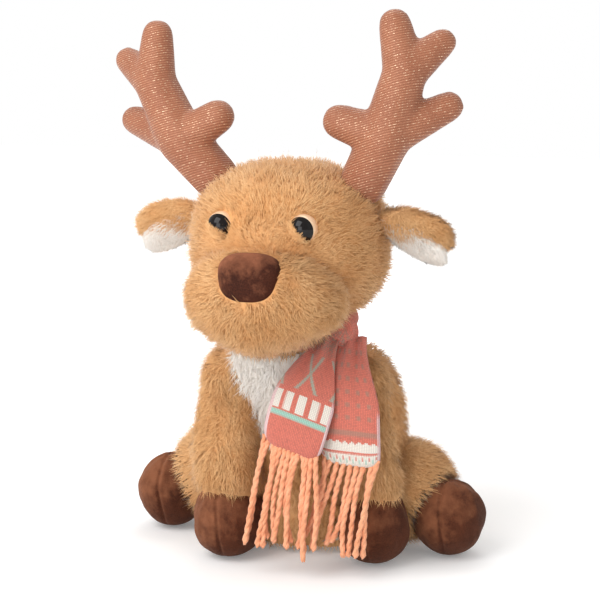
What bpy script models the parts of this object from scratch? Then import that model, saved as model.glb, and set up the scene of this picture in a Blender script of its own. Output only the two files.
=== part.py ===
"""A sitting plush deer with stuffed antlers, velour hooves and a knitted scarf.

Metres, +Z up. The deer looks along -Y, its left side is +X, and it sits on the plane Z = 0.
Covers are shells with their filling inside. Limbs, ears and antlers are stuffed forms, each with a
round root that turns in a round seat, so a limb can be bent without pressing into the body.
"""
import math

import bmesh
import bpy
from mathutils import Matrix, Vector

MM = 0.001

# Clearances and cloth
GAP = 0.3 * MM
ROOT_GAP = 0.8 * MM
COVER_WALL = 4.0 * MM
OVERRUN = 30.0 * MM
REACH = 120.0 * MM

# Trunk
BODY_TOP = 118.5 * MM
BODY_HALF_WIDTH = 50.0 * MM
BODY_HALF_DEPTH = 38.0 * MM
BODY_LEAN = 20.0 * MM
BODY_SEAT_Y = 12.0 * MM
# Height, half width, half depth, and forward shift, as shares of the trunk's own sizes
BODY_SHARES = (
    (0.000, 0.80, 0.86, -0.10),
    (0.050, 0.94, 0.98, -0.06),
    (0.180, 1.10, 1.06, 0.00),
    (0.400, 1.18, 1.05, 0.10),
    (0.620, 1.20, 1.02, 0.36),
    (0.810, 1.16, 0.98, 0.66),
    (0.930, 1.04, 0.93, 0.90),
    (1.000, 0.82, 0.82, 1.06),
)
NECK_Y = -10.0 * MM
NECK_RADIUS = 28.5 * MM
NECK_TOP = 140.0 * MM
POUCH_HEIGHT = 24.0 * MM

# White panel on the chest: side and height of its corners, on the deer's left half
BIB_TOP = 113.5 * MM
BIB_BOTTOM = 60.0 * MM
BIB_HALF_WIDTH = 27.0 * MM
BIB_BACK_Y = -16.0 * MM
BIB_SHARES = ((0.88, 1.0), (1.0, 0.78), (0.46, 0.27), (0.09, 0.0))

# Head
HEAD_Y = -19.5 * MM
HEAD_TOP = 219.0 * MM
HEAD_HALF_WIDTH = 55.0 * MM
HEAD_HALF_DEPTH = 53.0 * MM
HEAD_SHARES = (
    (0.00, 0.70, 0.70),
    (0.10, 0.88, 0.86),
    (0.27, 0.99, 0.98),
    (0.48, 1.00, 1.00),
    (0.68, 0.95, 0.94),
    (0.84, 0.80, 0.80),
    (0.95, 0.52, 0.54),
    (1.00, 0.20, 0.22),
)
COLLAR_RADIUS = 47.0 * MM
CHIN_RADIUS = 64.0 * MM
CHIN_DROP = 24.0 * MM

# Muzzle
MUZZLE_ROOT_Y = -30.0 * MM
MUZZLE_TIP_Y = -88.5 * MM
MUZZLE_Z = 149.0 * MM
MUZZLE_HALF_WIDTH = 44.0 * MM
MUZZLE_HALF_HEIGHT = 31.0 * MM
MUZZLE_RISE = 4.0 * MM
MUZZLE_SHARES = (
    (0.00, 0.86, 0.90, 0.0),
    (0.28, 0.98, 1.00, 0.0),
    (0.52, 1.00, 1.00, 0.0),
    (0.74, 0.91, 0.90, 0.2),
    (0.89, 0.70, 0.70, 0.6),
    (0.97, 0.42, 0.44, 1.0),
    (1.00, 0.16, 0.18, 1.0),
)
NOSE_Y = -78.5 * MM
NOSE_Z = 163.5 * MM
NOSE_HALF_WIDTH = 16.5 * MM
NOSE_HALF_DEPTH = 10.0 * MM
NOSE_HALF_HEIGHT = 13.5 * MM

# Eyes: a domed bead on a shank, held by a washer behind the cover
EYE_X = 22.6 * MM
EYE_Y = -63.0 * MM
EYE_Z = 187.0 * MM
EYE_RADIUS = 8.0 * MM
SHANK_RADIUS = 2.0 * MM
SHANK_LENGTH = 16.0 * MM
WASHER_RADIUS = 7.0 * MM
WASHER_THICK = 1.6 * MM

# Ears
EAR_X = 50.0 * MM
EAR_Y = -19.5 * MM
EAR_Z = 187.0 * MM
EAR_ROOT = 8.5 * MM
EAR_LENGTH = 42.0 * MM
EAR_HALF_HEIGHT = 13.5 * MM
EAR_HALF_THICK = 9.0 * MM
EAR_DROP = 7.0 * MM
EAR_CLEARANCE = 3.4 * MM
EAR_SHARES = (
    (0.00, 0.46, 0.54),
    (0.16, 0.74, 0.80),
    (0.42, 1.00, 1.00),
    (0.66, 1.00, 0.98),
    (0.86, 0.82, 0.84),
    (0.97, 0.52, 0.56),
    (1.00, 0.26, 0.28),
)
EAR_FOLD_ANGLE = math.radians(34.0)
LINING_INSET = 2.2 * MM
# How far the lining's tip sits forward and down, as shares of the ear's half thickness and half height
LINING_FORWARD = 0.12
LINING_DOWN = 0.72

# Antlers: the root, and the points where the beam forks and where the tines end, from the root
ANTLER_X = 42.0 * MM
ANTLER_Y = -22.0 * MM
ANTLER_Z = 208.0 * MM
ANTLER_ROOT = 12.3 * MM
FORK_LOW = (16.0 * MM, -5.0 * MM, 22.5 * MM)
FORK_HIGH = (29.0 * MM, -3.0 * MM, 55.0 * MM)
TINE_TOP = (25.5 * MM, -1.0 * MM, 80.0 * MM)
TINE_SECOND = (48.0 * MM, 6.0 * MM, 68.5 * MM)
TINE_INNER = (-7.5 * MM, -7.0 * MM, 33.0 * MM)
TINE_OUTER = (48.0 * MM, 7.0 * MM, 35.5 * MM)
BEAM_LOW_RADIUS = 13.0 * MM
BEAM_HIGH_RADIUS = 11.0 * MM
TINE_TOP_RADIUS = 8.0 * MM
TINE_SECOND_RADIUS = 6.8 * MM
TINE_INNER_RADIUS = 8.8 * MM
TINE_OUTER_RADIUS = 7.4 * MM
ANTLER_ROLL = math.radians(6.0)
ANTLER_SIDES = 10

# Front legs: root and hoof of each side, the deer's right leg standing further in and forward
LEG_ROOT_RADIUS = 20.0 * MM
LEG_HALF_WIDTH = 20.3 * MM
LEG_HALF_DEPTH = 18.0 * MM
LEG_ROOT_Z = 96.5 * MM
LEG_ROOT = {"left": (36.4 * MM, -15.3 * MM), "right": (-34.0 * MM, -17.0 * MM)}
LEG_FOOT = {"left": (49.0 * MM, -20.0 * MM), "right": (-30.0 * MM, -35.0 * MM)}
ANKLE_Z = 30.0 * MM
HOOF_HALF_WIDTH = 21.0 * MM
HOOF_HALF_DEPTH = 22.0 * MM
HOOF_HEIGHT = 38.0 * MM
HOOF_FLAT = 0.5 * MM
LEG_SWING = {"left": (-12.0, 2.0), "right": (0.0, 12.0)}

# Rear legs
THIGH_X = 57.0 * MM
THIGH_Y = 15.3 * MM
THIGH_Z = 33.5 * MM
THIGH_RADIUS = 29.8 * MM
REAR_HOOF_X = 83.5 * MM
REAR_HOOF_Y = 8.0 * MM
REAR_HOOF_HALF_WIDTH = 21.0 * MM
REAR_HOOF_HALF_DEPTH = 23.0 * MM
REAR_HOOF_HEIGHT = 43.0 * MM
SHIN_RADIUS = 19.0 * MM

# Tail
TAIL_Y = 47.5 * MM
TAIL_Z = 42.0 * MM
TAIL_ROOT = 8.0 * MM
TAIL_LENGTH = 34.0 * MM
TAIL_HALF_WIDTH = 12.0 * MM
TAIL_HALF_THICK = 9.0 * MM
TAIL_DROP = 12.0 * MM
TAIL_CLEARANCE = 5.5 * MM
TAIL_STALK_RADIUS = 5.0 * MM
TAIL_STALK_LENGTH = 14.0 * MM

# Scarf
LOOP_WALL = 6.0 * MM
LOOP_BOTTOM = 119.0 * MM
LOOP_TOP = 138.5 * MM
KNOT_X = 31.5 * MM
KNOT_Y = -26.0 * MM
KNOT_Z = 129.5 * MM
KNOT_RADIUS = 9.0 * MM
STRAP_WIDTH = 35.0 * MM
STRAP_THICK = 4.5 * MM
STRAP_PINCH = 15.0 * MM
STRAP_BOW = 8.0 * MM
FRINGE_THICK = 7.0 * MM
# Where a tail starts, as a share of the knot's radius, how soon it reaches its full width, and how
# much wider the fringe is at its ends
TAIL_START = 0.8
STRAP_SPREAD = 1.9
FRINGE_FLARE = 0.12
# Side, depth and height of the middle of each tail's start from the knot, hem and fringe ends
FRONT_START = (-5.0 * MM, -5.0 * MM, 0.0)
BACK_START = (6.0 * MM, 0.5 * MM, 0.0)
FRONT_HEM = (14.0 * MM, -58.5 * MM, 67.5 * MM)
FRONT_FRINGE = (10.0 * MM, -63.0 * MM, 9.0 * MM)
BACK_HEM = (45.0 * MM, -50.0 * MM, 61.0 * MM)
BACK_FRINGE = (40.0 * MM, -53.0 * MM, 10.0 * MM)

SIDES = {"left": 1.0, "right": -1.0}
SQUARE = ((-1, -1), (1, -1), (1, 1), (-1, 1))


def clear_scene():
    """Remove every object that the file holds."""
    for old in list(bpy.data.objects):
        bpy.data.objects.remove(old, do_unlink=True)


def finish(name, colour, roughness, metallic=0.0):
    """A material with one colour."""
    material = bpy.data.materials.new(name)
    material.use_nodes = True
    shader = material.node_tree.nodes["Principled BSDF"]
    shader.inputs["Base Color"].default_value = (*colour, 1.0)
    shader.inputs["Roughness"].default_value = roughness
    shader.inputs["Metallic"].default_value = metallic
    return material


def add_object(name, shape, material=None, origin=(0.0, 0.0, 0.0)):
    """Turn a bmesh into an object whose origin is at the given point."""
    bmesh.ops.translate(shape, verts=shape.verts, vec=-Vector(origin))
    bmesh.ops.recalc_face_normals(shape, faces=shape.faces)
    mesh = bpy.data.meshes.new(name)
    shape.to_mesh(mesh)
    shape.free()
    mesh.shade_smooth()
    piece = bpy.data.objects.new(name, mesh)
    piece.location = origin
    if material:
        mesh.materials.append(material)
    else:
        piece.hide_render = True
        piece.display_type = "WIRE"
    bpy.context.scene.collection.objects.link(piece)
    return piece


def combine(piece, other, operation):
    """Cut, join or intersect a piece with another."""
    step = piece.modifiers.new(operation.title(), "BOOLEAN")
    step.operation = operation
    step.solver = "EXACT"
    step.object = other


def cut(piece, *cutters):
    """Take the cutters away from a piece."""
    for cutter in cutters:
        combine(piece, cutter, "DIFFERENCE")


def between(values, t):
    """Read a smooth curve through evenly numbered values at t from 0 to 1."""
    count = len(values) - 1
    place = min(max(t, 0.0), 1.0) * count
    index = min(int(place), count - 1)
    f = place - index
    before = values[max(index - 1, 0)]
    start = values[index]
    end = values[index + 1]
    after = values[min(index + 2, count)]
    result = []
    for a, b, c, d in zip(before, start, end, after):
        slope_b = (c - a) / 2.0
        slope_c = (d - b) / 2.0
        curve = (2.0 * f**3 - 3.0 * f**2 + 1.0) * b + (f**3 - 2.0 * f**2 + f) * slope_b
        curve += (3.0 * f**2 - 2.0 * f**3) * c + (f**3 - f**2) * slope_c
        result.append(curve)
    return result


def swell(rings, across, up, sides=20, flat_start=False, flat_end=False):
    """A closed form through rings of (centre, half width, half depth).

    Every ring lies along the directions across and up. An end is a flat face or a low dome.
    """
    shape = bmesh.new()
    across = Vector(across).normalized()
    up = Vector(up).normalized()
    loops = []
    for centre, wide, deep in rings:
        loop = []
        for number in range(sides):
            angle = math.tau * number / sides
            offset = across * (wide * math.cos(angle)) + up * (deep * math.sin(angle))
            loop.append(shape.verts.new(Vector(centre) + offset))
        loops.append(loop)
    for low, high in zip(loops, loops[1:]):
        for number in range(sides):
            following = (number + 1) % sides
            shape.faces.new((low[number], low[following], high[following]))
            shape.faces.new((low[number], high[following], high[number]))
    for loop, flat, ring, inner in (
        (loops[0], flat_start, rings[0], rings[1]),
        (loops[-1], flat_end, rings[-1], rings[-2]),
    ):
        if flat:
            shape.faces.new(loop)
            continue
        outward = (Vector(ring[0]) - Vector(inner[0])).normalized()
        pole = shape.verts.new(Vector(ring[0]) + outward * min(ring[1], ring[2]) / 8.0)
        for number in range(sides):
            shape.faces.new((loop[number], loop[(number + 1) % sides], pole))
    return shape


def ball(centre, radius, segments=18, rings=10):
    """A round ball."""
    shape = bmesh.new()
    bmesh.ops.create_uvsphere(shape, u_segments=segments, v_segments=rings, radius=radius)
    bmesh.ops.translate(shape, verts=shape.verts, vec=Vector(centre))
    return shape


def stretched_ball(centre, halves, segments=18, rings=11):
    """A ball with its own half size along each axis."""
    shape = ball((0.0, 0.0, 0.0), 1.0, segments, rings)
    bmesh.ops.scale(shape, verts=shape.verts, vec=Vector(halves))
    bmesh.ops.translate(shape, verts=shape.verts, vec=Vector(centre))
    return shape


def rod(start, end, radius_start, radius_end, segments=24, domed=True):
    """A tapered rod from one point to another, with round or flat ends."""
    start = Vector(start)
    end = Vector(end)
    along = (end - start).normalized()
    side = along.orthogonal().normalized()
    other = along.cross(side)
    rings = []
    dome_steps = 3
    if domed:
        for step in range(1, dome_steps + 1):
            angle = math.pi / 2.0 * step / dome_steps
            back = radius_start * math.cos(angle)
            rings.append((start - along * back, radius_start * math.sin(angle)))
        for step in range(dome_steps, 0, -1):
            angle = math.pi / 2.0 * step / dome_steps
            ahead = radius_end * math.cos(angle)
            rings.append((end + along * ahead, radius_end * math.sin(angle)))
    else:
        rings = [(start, radius_start), (end, radius_end)]
    rows = [(centre, radius, radius) for centre, radius in rings]
    return swell(rows, side, other, segments, flat_start=not domed, flat_end=not domed)


def prism(outline, start, end, direction):
    """A straight prism on an outline of points, from one distance to another along a direction."""
    shape = bmesh.new()
    direction = Vector(direction)
    low = [shape.verts.new(Vector(point) + direction * start) for point in outline]
    high = [shape.verts.new(Vector(point) + direction * end) for point in outline]
    count = len(outline)
    for number in range(count):
        following = (number + 1) % count
        shape.faces.new((low[number], low[following], high[following], high[number]))
    shape.faces.new(low)
    shape.faces.new(high)
    return shape


def body_rings(inset, rows=13):
    """The trunk's rings, drawn in by an inset."""
    rings = []
    for row in range(rows):
        height, width, depth, shift = between(BODY_SHARES, row / (rows - 1))
        centre = (0.0, BODY_SEAT_Y - shift * BODY_LEAN, height * BODY_TOP)
        rings.append((centre, width * BODY_HALF_WIDTH - inset, depth * BODY_HALF_DEPTH - inset))
    return rings


def body_form(inset, base, top):
    """The trunk with its neck, from a base height to a top height."""
    shoulder = BODY_TOP - inset
    every = body_rings(inset)
    rings = [((every[0][0][0], every[0][0][1], base), every[0][1], every[0][2])]
    rings += [ring for ring in every[1:-1] if base + GAP < ring[0][2] < shoulder - GAP]
    rings.append(((every[-1][0][0], every[-1][0][1], shoulder), every[-1][1], every[-1][2]))
    neck = NECK_RADIUS - inset
    rings.append(((0.0, NECK_Y, shoulder + GAP), neck, neck))
    rings.append(((0.0, NECK_Y, top), neck, neck))
    return swell(rings, (1, 0, 0), (0, 1, 0), flat_start=True, flat_end=True)


def head_form(inset, bottom, top):
    """The head without its muzzle, drawn in by an inset."""
    rows = 12
    rings = []
    for row in range(rows):
        height, width, depth = between(HEAD_SHARES, row / (rows - 1))
        centre = (0.0, HEAD_Y, bottom + height * (top - bottom))
        rings.append((centre, width * HEAD_HALF_WIDTH - inset, depth * HEAD_HALF_DEPTH - inset))
    return swell(rings, (1, 0, 0), (0, 1, 0), flat_start=True)


def collar_cutter():
    """The space round the neck that the turning head keeps clear: turned about the neck."""
    low = NECK_TOP + GAP - CHIN_DROP
    rings = [
        ((0.0, NECK_Y, low - OVERRUN), CHIN_RADIUS, CHIN_RADIUS),
        ((0.0, NECK_Y, low), CHIN_RADIUS, CHIN_RADIUS),
        ((0.0, NECK_Y, NECK_TOP + GAP), COLLAR_RADIUS, COLLAR_RADIUS),
    ]
    return swell(rings, (1, 0, 0), (0, 1, 0), 48, flat_start=True, flat_end=True)


def leg_fan(side):
    """The outline that a front leg sweeps as it swings, seen from the front."""
    root_x = LEG_ROOT[side][0]
    foot_x = LEG_FOOT[side][0]
    reach = LEG_ROOT_Z + OVERRUN
    half = LEG_ROOT_RADIUS + 2.0 * ROOT_GAP
    hoof = HOOF_HALF_WIDTH + ROOT_GAP
    swings = [math.radians(angle) * SIDES[side] for angle in LEG_SWING[side]]
    rest = math.atan2(foot_x - root_x, LEG_ROOT_Z)
    outline = [
        (root_x + reach * math.tan(rest + min(swings)) - hoof, 0.0, LEG_ROOT_Z - reach),
        (root_x + reach * math.tan(rest + max(swings)) + hoof, 0.0, LEG_ROOT_Z - reach),
    ]
    steps = 12
    for step in range(steps + 1):
        angle = math.pi * step / steps
        outline.append((root_x + half * math.cos(angle), 0.0, LEG_ROOT_Z + half * math.sin(angle)))
    return outline


def leg_back(side):
    """How far back a front leg reaches below its root."""
    return LEG_ROOT[side][1]


def make_trunk(finishes):
    """Cover, filling, bean pouch and chest panel."""
    legs = []
    for side in SIDES:
        root_x, root_y = LEG_ROOT[side]
        root = (root_x, root_y, LEG_ROOT_Z)
        legs.append(add_object(f"cut_shoulder_{side}", ball(root, LEG_ROOT_RADIUS + ROOT_GAP)))
        fan = prism(leg_fan(side), leg_back(side) + ROOT_GAP, -REACH, (0, 1, 0))
        legs.append(add_object(f"cut_swing_{side}", fan))
        hip = (SIDES[side] * THIGH_X, THIGH_Y, THIGH_Z)
        legs.append(add_object(f"cut_hip_{side}", ball(hip, THIGH_RADIUS + ROOT_GAP)))
    tail_seat = ball((0.0, TAIL_Y, TAIL_Z), TAIL_ROOT + ROOT_GAP, 16, 10)
    legs.append(add_object("cut_tail", tail_seat))
    tall = BIB_TOP - BIB_BOTTOM
    half = [(side * BIB_HALF_WIDTH, BIB_BOTTOM + rise * tall) for side, rise in BIB_SHARES]
    right = [(-x, z) for x, z in reversed(half)]
    outline = half + right
    middle_z = (BIB_TOP + BIB_BOTTOM) / 2.0
    panel = prism([(x, 0.0, z) for x, z in outline], -REACH, BIB_BACK_Y, (0, 1, 0))
    wider = []
    for x, z in outline:
        spread = Vector((x, z - middle_z)).normalized() * 2.0 * GAP
        wider.append((x + spread.x, 0.0, z + spread.y))
    around = prism(wider, -REACH, BIB_BACK_Y, (0, 1, 0))
    panel = add_object("cut_panel", panel)
    around = add_object("cut_around_panel", around)
    inner = add_object("cut_body_inside", body_form(COVER_WALL, COVER_WALL, NECK_TOP + OVERRUN))

    cover = add_object("body_cover", body_form(0.0, 0.0, NECK_TOP), finishes["tan"])
    cut(cover, inner, around, *legs)
    bib = add_object("chest_bib", body_form(0.0, 0.0, NECK_TOP), finishes["white"])
    cut(bib, inner)
    combine(bib, panel, "INTERSECT")
    cut(bib, *legs)

    clearance = COVER_WALL + GAP
    level = [(x * REACH, y * REACH, 0.0) for x, y in SQUARE]
    below = add_object("cut_below", prism(level, -OVERRUN, POUCH_HEIGHT + GAP, (0, 0, 1)))
    above = add_object("cut_above", prism(level, POUCH_HEIGHT, NECK_TOP + OVERRUN, (0, 0, 1)))
    shape = body_form(clearance, clearance, NECK_TOP)
    filling = add_object("body_stuffing", shape, finishes["filling"])
    cut(filling, below, *legs)
    shape = body_form(clearance, clearance, NECK_TOP)
    pouch = add_object("bean_pouch", shape, finishes["pouch"])
    cut(pouch, above, *legs)


def make_head(finishes):
    """Cover, filling, muzzle and nose of the head, with the eyes and their washers."""
    bottom = NECK_TOP + GAP
    seats = []
    for side, sign in SIDES.items():
        seats.append(ball((sign * EAR_X, EAR_Y, EAR_Z), EAR_ROOT + ROOT_GAP, 14, 8))
        seats.append(ball((sign * ANTLER_X, ANTLER_Y, ANTLER_Z), ANTLER_ROOT + ROOT_GAP, 16, 10))
        seats.append(ball((sign * EYE_X, EYE_Y, EYE_Z), EYE_RADIUS + GAP, 16, 10))
        shank = ((sign * EYE_X, EYE_Y, EYE_Z), (sign * EYE_X, EYE_Y + SHANK_LENGTH + GAP, EYE_Z))
        seats.append(rod(*shank, SHANK_RADIUS + GAP, SHANK_RADIUS + GAP, 10, domed=False))
    seats = [add_object(f"cut_seat_{number}", shape) for number, shape in enumerate(seats)]
    inner = head_form(COVER_WALL, bottom + COVER_WALL, HEAD_TOP - COVER_WALL)
    inner = add_object("cut_head_inside", inner)
    opening = NECK_RADIUS - COVER_WALL
    foot = (0.0, NECK_Y, bottom - OVERRUN)
    throat = rod(foot, (0.0, NECK_Y, bottom + OVERRUN), opening, opening, 24, domed=False)
    throat = add_object("cut_throat", throat)

    neck = (0.0, NECK_Y, NECK_TOP)
    cover = add_object("head_cover", head_form(0.0, bottom, HEAD_TOP), finishes["tan"], neck)
    cut(cover, inner, throat, *seats)

    inset = COVER_WALL + GAP
    shape = head_form(inset, bottom + inset, HEAD_TOP - inset)
    filling = add_object("head_stuffing", shape, finishes["filling"], neck)
    low = (0.0, NECK_Y, bottom)
    high = (0.0, NECK_Y, bottom + OVERRUN)
    plug = rod(low, high, opening - GAP, opening - GAP, 24, False)
    combine(filling, add_object("join_plug", plug), "UNION")
    cut(filling, *seats)

    solid_head = add_object("cut_solid_head", head_form(-GAP, bottom, HEAD_TOP))
    collar = add_object("cut_collar", collar_cutter())
    rings = []
    rows = 11
    for row in range(rows):
        along, width, height, rise = between(MUZZLE_SHARES, row / (rows - 1))
        y = MUZZLE_ROOT_Y + along * (MUZZLE_TIP_Y - MUZZLE_ROOT_Y)
        centre = (0.0, y, MUZZLE_Z + rise * MUZZLE_RISE)
        rings.append((centre, width * MUZZLE_HALF_WIDTH, height * MUZZLE_HALF_HEIGHT))
    shape = swell(rings, (1, 0, 0), (0, 0, 1), flat_start=True)
    muzzle = add_object("muzzle_cover", shape, finishes["tan"], neck)
    cut(muzzle, solid_head, collar, *seats)

    halves = (NOSE_HALF_WIDTH, NOSE_HALF_DEPTH, NOSE_HALF_HEIGHT)
    nose = add_object("nose", stretched_ball((0.0, NOSE_Y, NOSE_Z), halves), finishes["velour"])
    wide_nose = stretched_ball((0.0, NOSE_Y, NOSE_Z), [half + GAP for half in halves])
    wide_nose = add_object("cut_nose", wide_nose)
    cut(muzzle, wide_nose)
    behind = add_object("cut_behind_nose", head_form(-2.0 * GAP, bottom, HEAD_TOP))
    cut(nose, behind)

    for side, sign in SIDES.items():
        centre = Vector((sign * EYE_X, EYE_Y, EYE_Z))
        eye = add_object(f"eye_{side}", ball(centre, EYE_RADIUS, 16, 10), finishes["bead"], centre)
        shank = rod(centre, centre + Vector((0, SHANK_LENGTH, 0)), SHANK_RADIUS, SHANK_RADIUS, 10, False)
        combine(eye, add_object(f"join_shank_{side}", shank), "UNION")
        start = centre + Vector((0, SHANK_LENGTH - 3.0 * WASHER_THICK, 0))
        end = start + Vector((0, WASHER_THICK, 0))
        washer = rod(start, end, WASHER_RADIUS, WASHER_RADIUS, 16, False)
        washer = add_object(f"eye_washer_{side}", washer, finishes["washer"], centre)
        cut(washer, seats[4 * list(SIDES).index(side) + 3])
        behind = Vector((0.0, GAP, 0.0))
        wide = WASHER_RADIUS + GAP
        space = rod(start - behind, end + behind, wide, wide, 16, False)
        cut(filling, add_object(f"cut_washer_{side}", space))


def make_ear(side, sign, finishes):
    """A folded ear: a fur back that hoods a pale lining."""
    root = Vector((sign * EAR_X, EAR_Y, EAR_Z))
    rows = 9

    def leaf(inset, shift):
        rings = []
        for row in range(rows):
            along, height, thick = between(EAR_SHARES, row / (rows - 1))
            reach = along * (EAR_LENGTH - inset)
            centre = root + Vector((sign * reach, 0.0, -along**1.5 * EAR_DROP)) + shift * along**0.6
            depth = thick * (EAR_HALF_THICK - inset)
            rings.append((centre, height * EAR_HALF_HEIGHT - inset / 4.0, depth))
        up = Vector((0.0, -math.sin(EAR_FOLD_ANGLE), math.cos(EAR_FOLD_ANGLE)))
        return swell(rings, up, up.cross(Vector((1, 0, 0))), 12)

    bottom = NECK_TOP + GAP
    head = head_form(-EAR_CLEARANCE, bottom, HEAD_TOP)
    head = add_object(f"cut_ear_head_{side}", head)
    back = add_object(f"ear_back_{side}", leaf(0.0, Vector()), finishes["tan"], root)
    cut(back, head)
    knob = add_object(f"join_ear_root_{side}", ball(root, EAR_ROOT, 12, 8))
    combine(back, knob, "UNION")
    shift = Vector((0.0, -EAR_HALF_THICK * LINING_FORWARD, -EAR_HALF_HEIGHT * LINING_DOWN))
    hollow = add_object(f"cut_ear_{side}", leaf(LINING_INSET, shift))
    cut(back, hollow)
    shape = leaf(LINING_INSET + 4.0 * GAP, shift)
    lining = add_object(f"ear_lining_{side}", shape, finishes["white"], root)
    wide_knob = add_object(f"cut_ear_root_{side}", ball(root, EAR_ROOT + GAP, 12, 8))
    cut(lining, wide_knob, head)


def make_antler(side, sign, finishes):
    """A stuffed antler: a beam with two forks and four tines."""
    root = Vector((sign * ANTLER_X, ANTLER_Y, ANTLER_Z))
    roll = Matrix.Rotation(-ANTLER_ROLL, 3, "Y")

    def place(point):
        turned = roll @ Vector((sign * point[0], point[1], point[2]))
        return root + turned

    low = place(FORK_LOW)
    high = place(FORK_HIGH)
    parts = (
        (root, low, ANTLER_ROOT, BEAM_LOW_RADIUS),
        (low, high, BEAM_LOW_RADIUS, BEAM_HIGH_RADIUS),
        (high, place(TINE_TOP), BEAM_HIGH_RADIUS, TINE_TOP_RADIUS),
        (high, place(TINE_SECOND), BEAM_HIGH_RADIUS, TINE_SECOND_RADIUS),
        (low, place(TINE_INNER), BEAM_HIGH_RADIUS, TINE_INNER_RADIUS),
        (low, place(TINE_OUTER), BEAM_HIGH_RADIUS, TINE_OUTER_RADIUS),
    )
    antler = add_object(f"antler_{side}", rod(*parts[0], ANTLER_SIDES), finishes["knit"], root)
    for number, part in enumerate(parts[1:]):
        tine = add_object(f"join_tine_{side}_{number}", rod(*part, ANTLER_SIDES))
        combine(antler, tine, "UNION")


def make_front_leg(side, finishes):
    """A pillow-like front leg on a round root, with its hoof."""
    root_x, root_y = LEG_ROOT[side]
    foot_x, foot_y = LEG_FOOT[side]
    root = Vector((root_x, root_y, LEG_ROOT_Z))
    rows = 7
    rings = []
    for row in range(rows):
        t = row / (rows - 1)
        z = LEG_ROOT_Z + t * (ANKLE_Z - LEG_ROOT_Z)
        sideways = root_x + t * (foot_x - root_x)
        forward = root_y + min(1.0, 2.0 * t) * (foot_y - root_y - 2.0 * GAP)
        rings.append(((sideways, forward, z), LEG_HALF_WIDTH, LEG_HALF_DEPTH))
    shape = swell(rings, (1, 0, 0), (0, 1, 0), 16)
    leg = add_object(f"front_leg_{side}", shape, finishes["tan"], root)
    span = REACH
    sheet = [(x * span, 0.0, z * span) for x, z in SQUARE]
    behind = add_object(f"cut_behind_leg_{side}", prism(sheet, leg_back(side), span, (0, 1, 0)))
    cut(leg, behind)
    combine(leg, add_object(f"join_leg_root_{side}", ball(root, LEG_ROOT_RADIUS)), "UNION")

    def hoof_form(more):
        centre = (foot_x, foot_y, HOOF_HEIGHT / 2.0)
        tall = HOOF_HEIGHT / 2.0 + HOOF_FLAT
        halves = (HOOF_HALF_WIDTH + more, HOOF_HALF_DEPTH + more, tall + more)
        return stretched_ball(centre, halves, 20, 12)

    hoof = add_object(f"front_hoof_{side}", hoof_form(0.0), finishes["velour"], root)
    floor = [(x * span, y * span, 0.0) for x, y in SQUARE]
    cut(hoof, add_object(f"cut_floor_{side}", prism(floor, -span, 0.0, (0, 0, 1))), behind)
    cut(leg, add_object(f"cut_hoof_{side}", hoof_form(GAP)))


def make_rear_leg(side, sign, finishes):
    """A round haunch in the side of the seat, and a hoof that points outward."""
    root = Vector((sign * THIGH_X, THIGH_Y, THIGH_Z))
    foot = Vector((sign * REAR_HOOF_X, REAR_HOOF_Y, REAR_HOOF_HEIGHT / 2.0))
    leg = add_object(f"rear_leg_{side}", ball(root, THIGH_RADIUS), finishes["tan"], root)
    shin = rod(root, foot, THIGH_RADIUS - SHIN_RADIUS / 4.0, SHIN_RADIUS, 24)
    combine(leg, add_object(f"join_shin_{side}", shin), "UNION")

    def hoof_form(more):
        tall = REAR_HOOF_HEIGHT / 2.0 + HOOF_FLAT
        halves = (REAR_HOOF_HALF_WIDTH + more, REAR_HOOF_HALF_DEPTH + more, tall + more)
        return stretched_ball(foot, halves)

    hoof = add_object(f"rear_hoof_{side}", hoof_form(0.0), finishes["velour"], root)
    span = REACH
    floor = [(x * span, y * span, 0.0) for x, y in SQUARE]
    under = add_object(f"cut_rear_floor_{side}", prism(floor, -span, 0.0, (0, 0, 1)))
    cut(hoof, under)
    cut(leg, under, add_object(f"cut_rear_hoof_{side}", hoof_form(GAP)))


def make_tail(finishes):
    """A short tail that hangs from the back of the seat."""
    root = Vector((0.0, TAIL_Y, TAIL_Z))
    rings = []
    rows = 9
    for row in range(rows):
        t = row / (rows - 1)
        round_off = math.sin(math.pi * min(0.5, 0.22 + 0.9 * t)) * math.sqrt(max(0.02, 1.0 - t**3))
        centre = root + Vector((0.0, t * TAIL_LENGTH, -TAIL_DROP * t * t))
        rings.append((centre, TAIL_HALF_WIDTH * round_off, TAIL_HALF_THICK * round_off))
    tail = add_object("tail", swell(rings, (1, 0, 0), (0, 0, 1), 16), finishes["tan"], root)
    outside = add_object("cut_tail_back", body_form(-TAIL_CLEARANCE, -GAP, NECK_TOP))
    cut(tail, outside)
    end = root + Vector((0.0, TAIL_STALK_LENGTH, -GAP))
    stalk = rod(root, end, TAIL_STALK_RADIUS, TAIL_STALK_RADIUS, 12, False)
    combine(tail, add_object("join_tail_stalk", stalk), "UNION")
    combine(tail, add_object("join_tail_root", ball(root, TAIL_ROOT, 16, 10)), "UNION")


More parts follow.
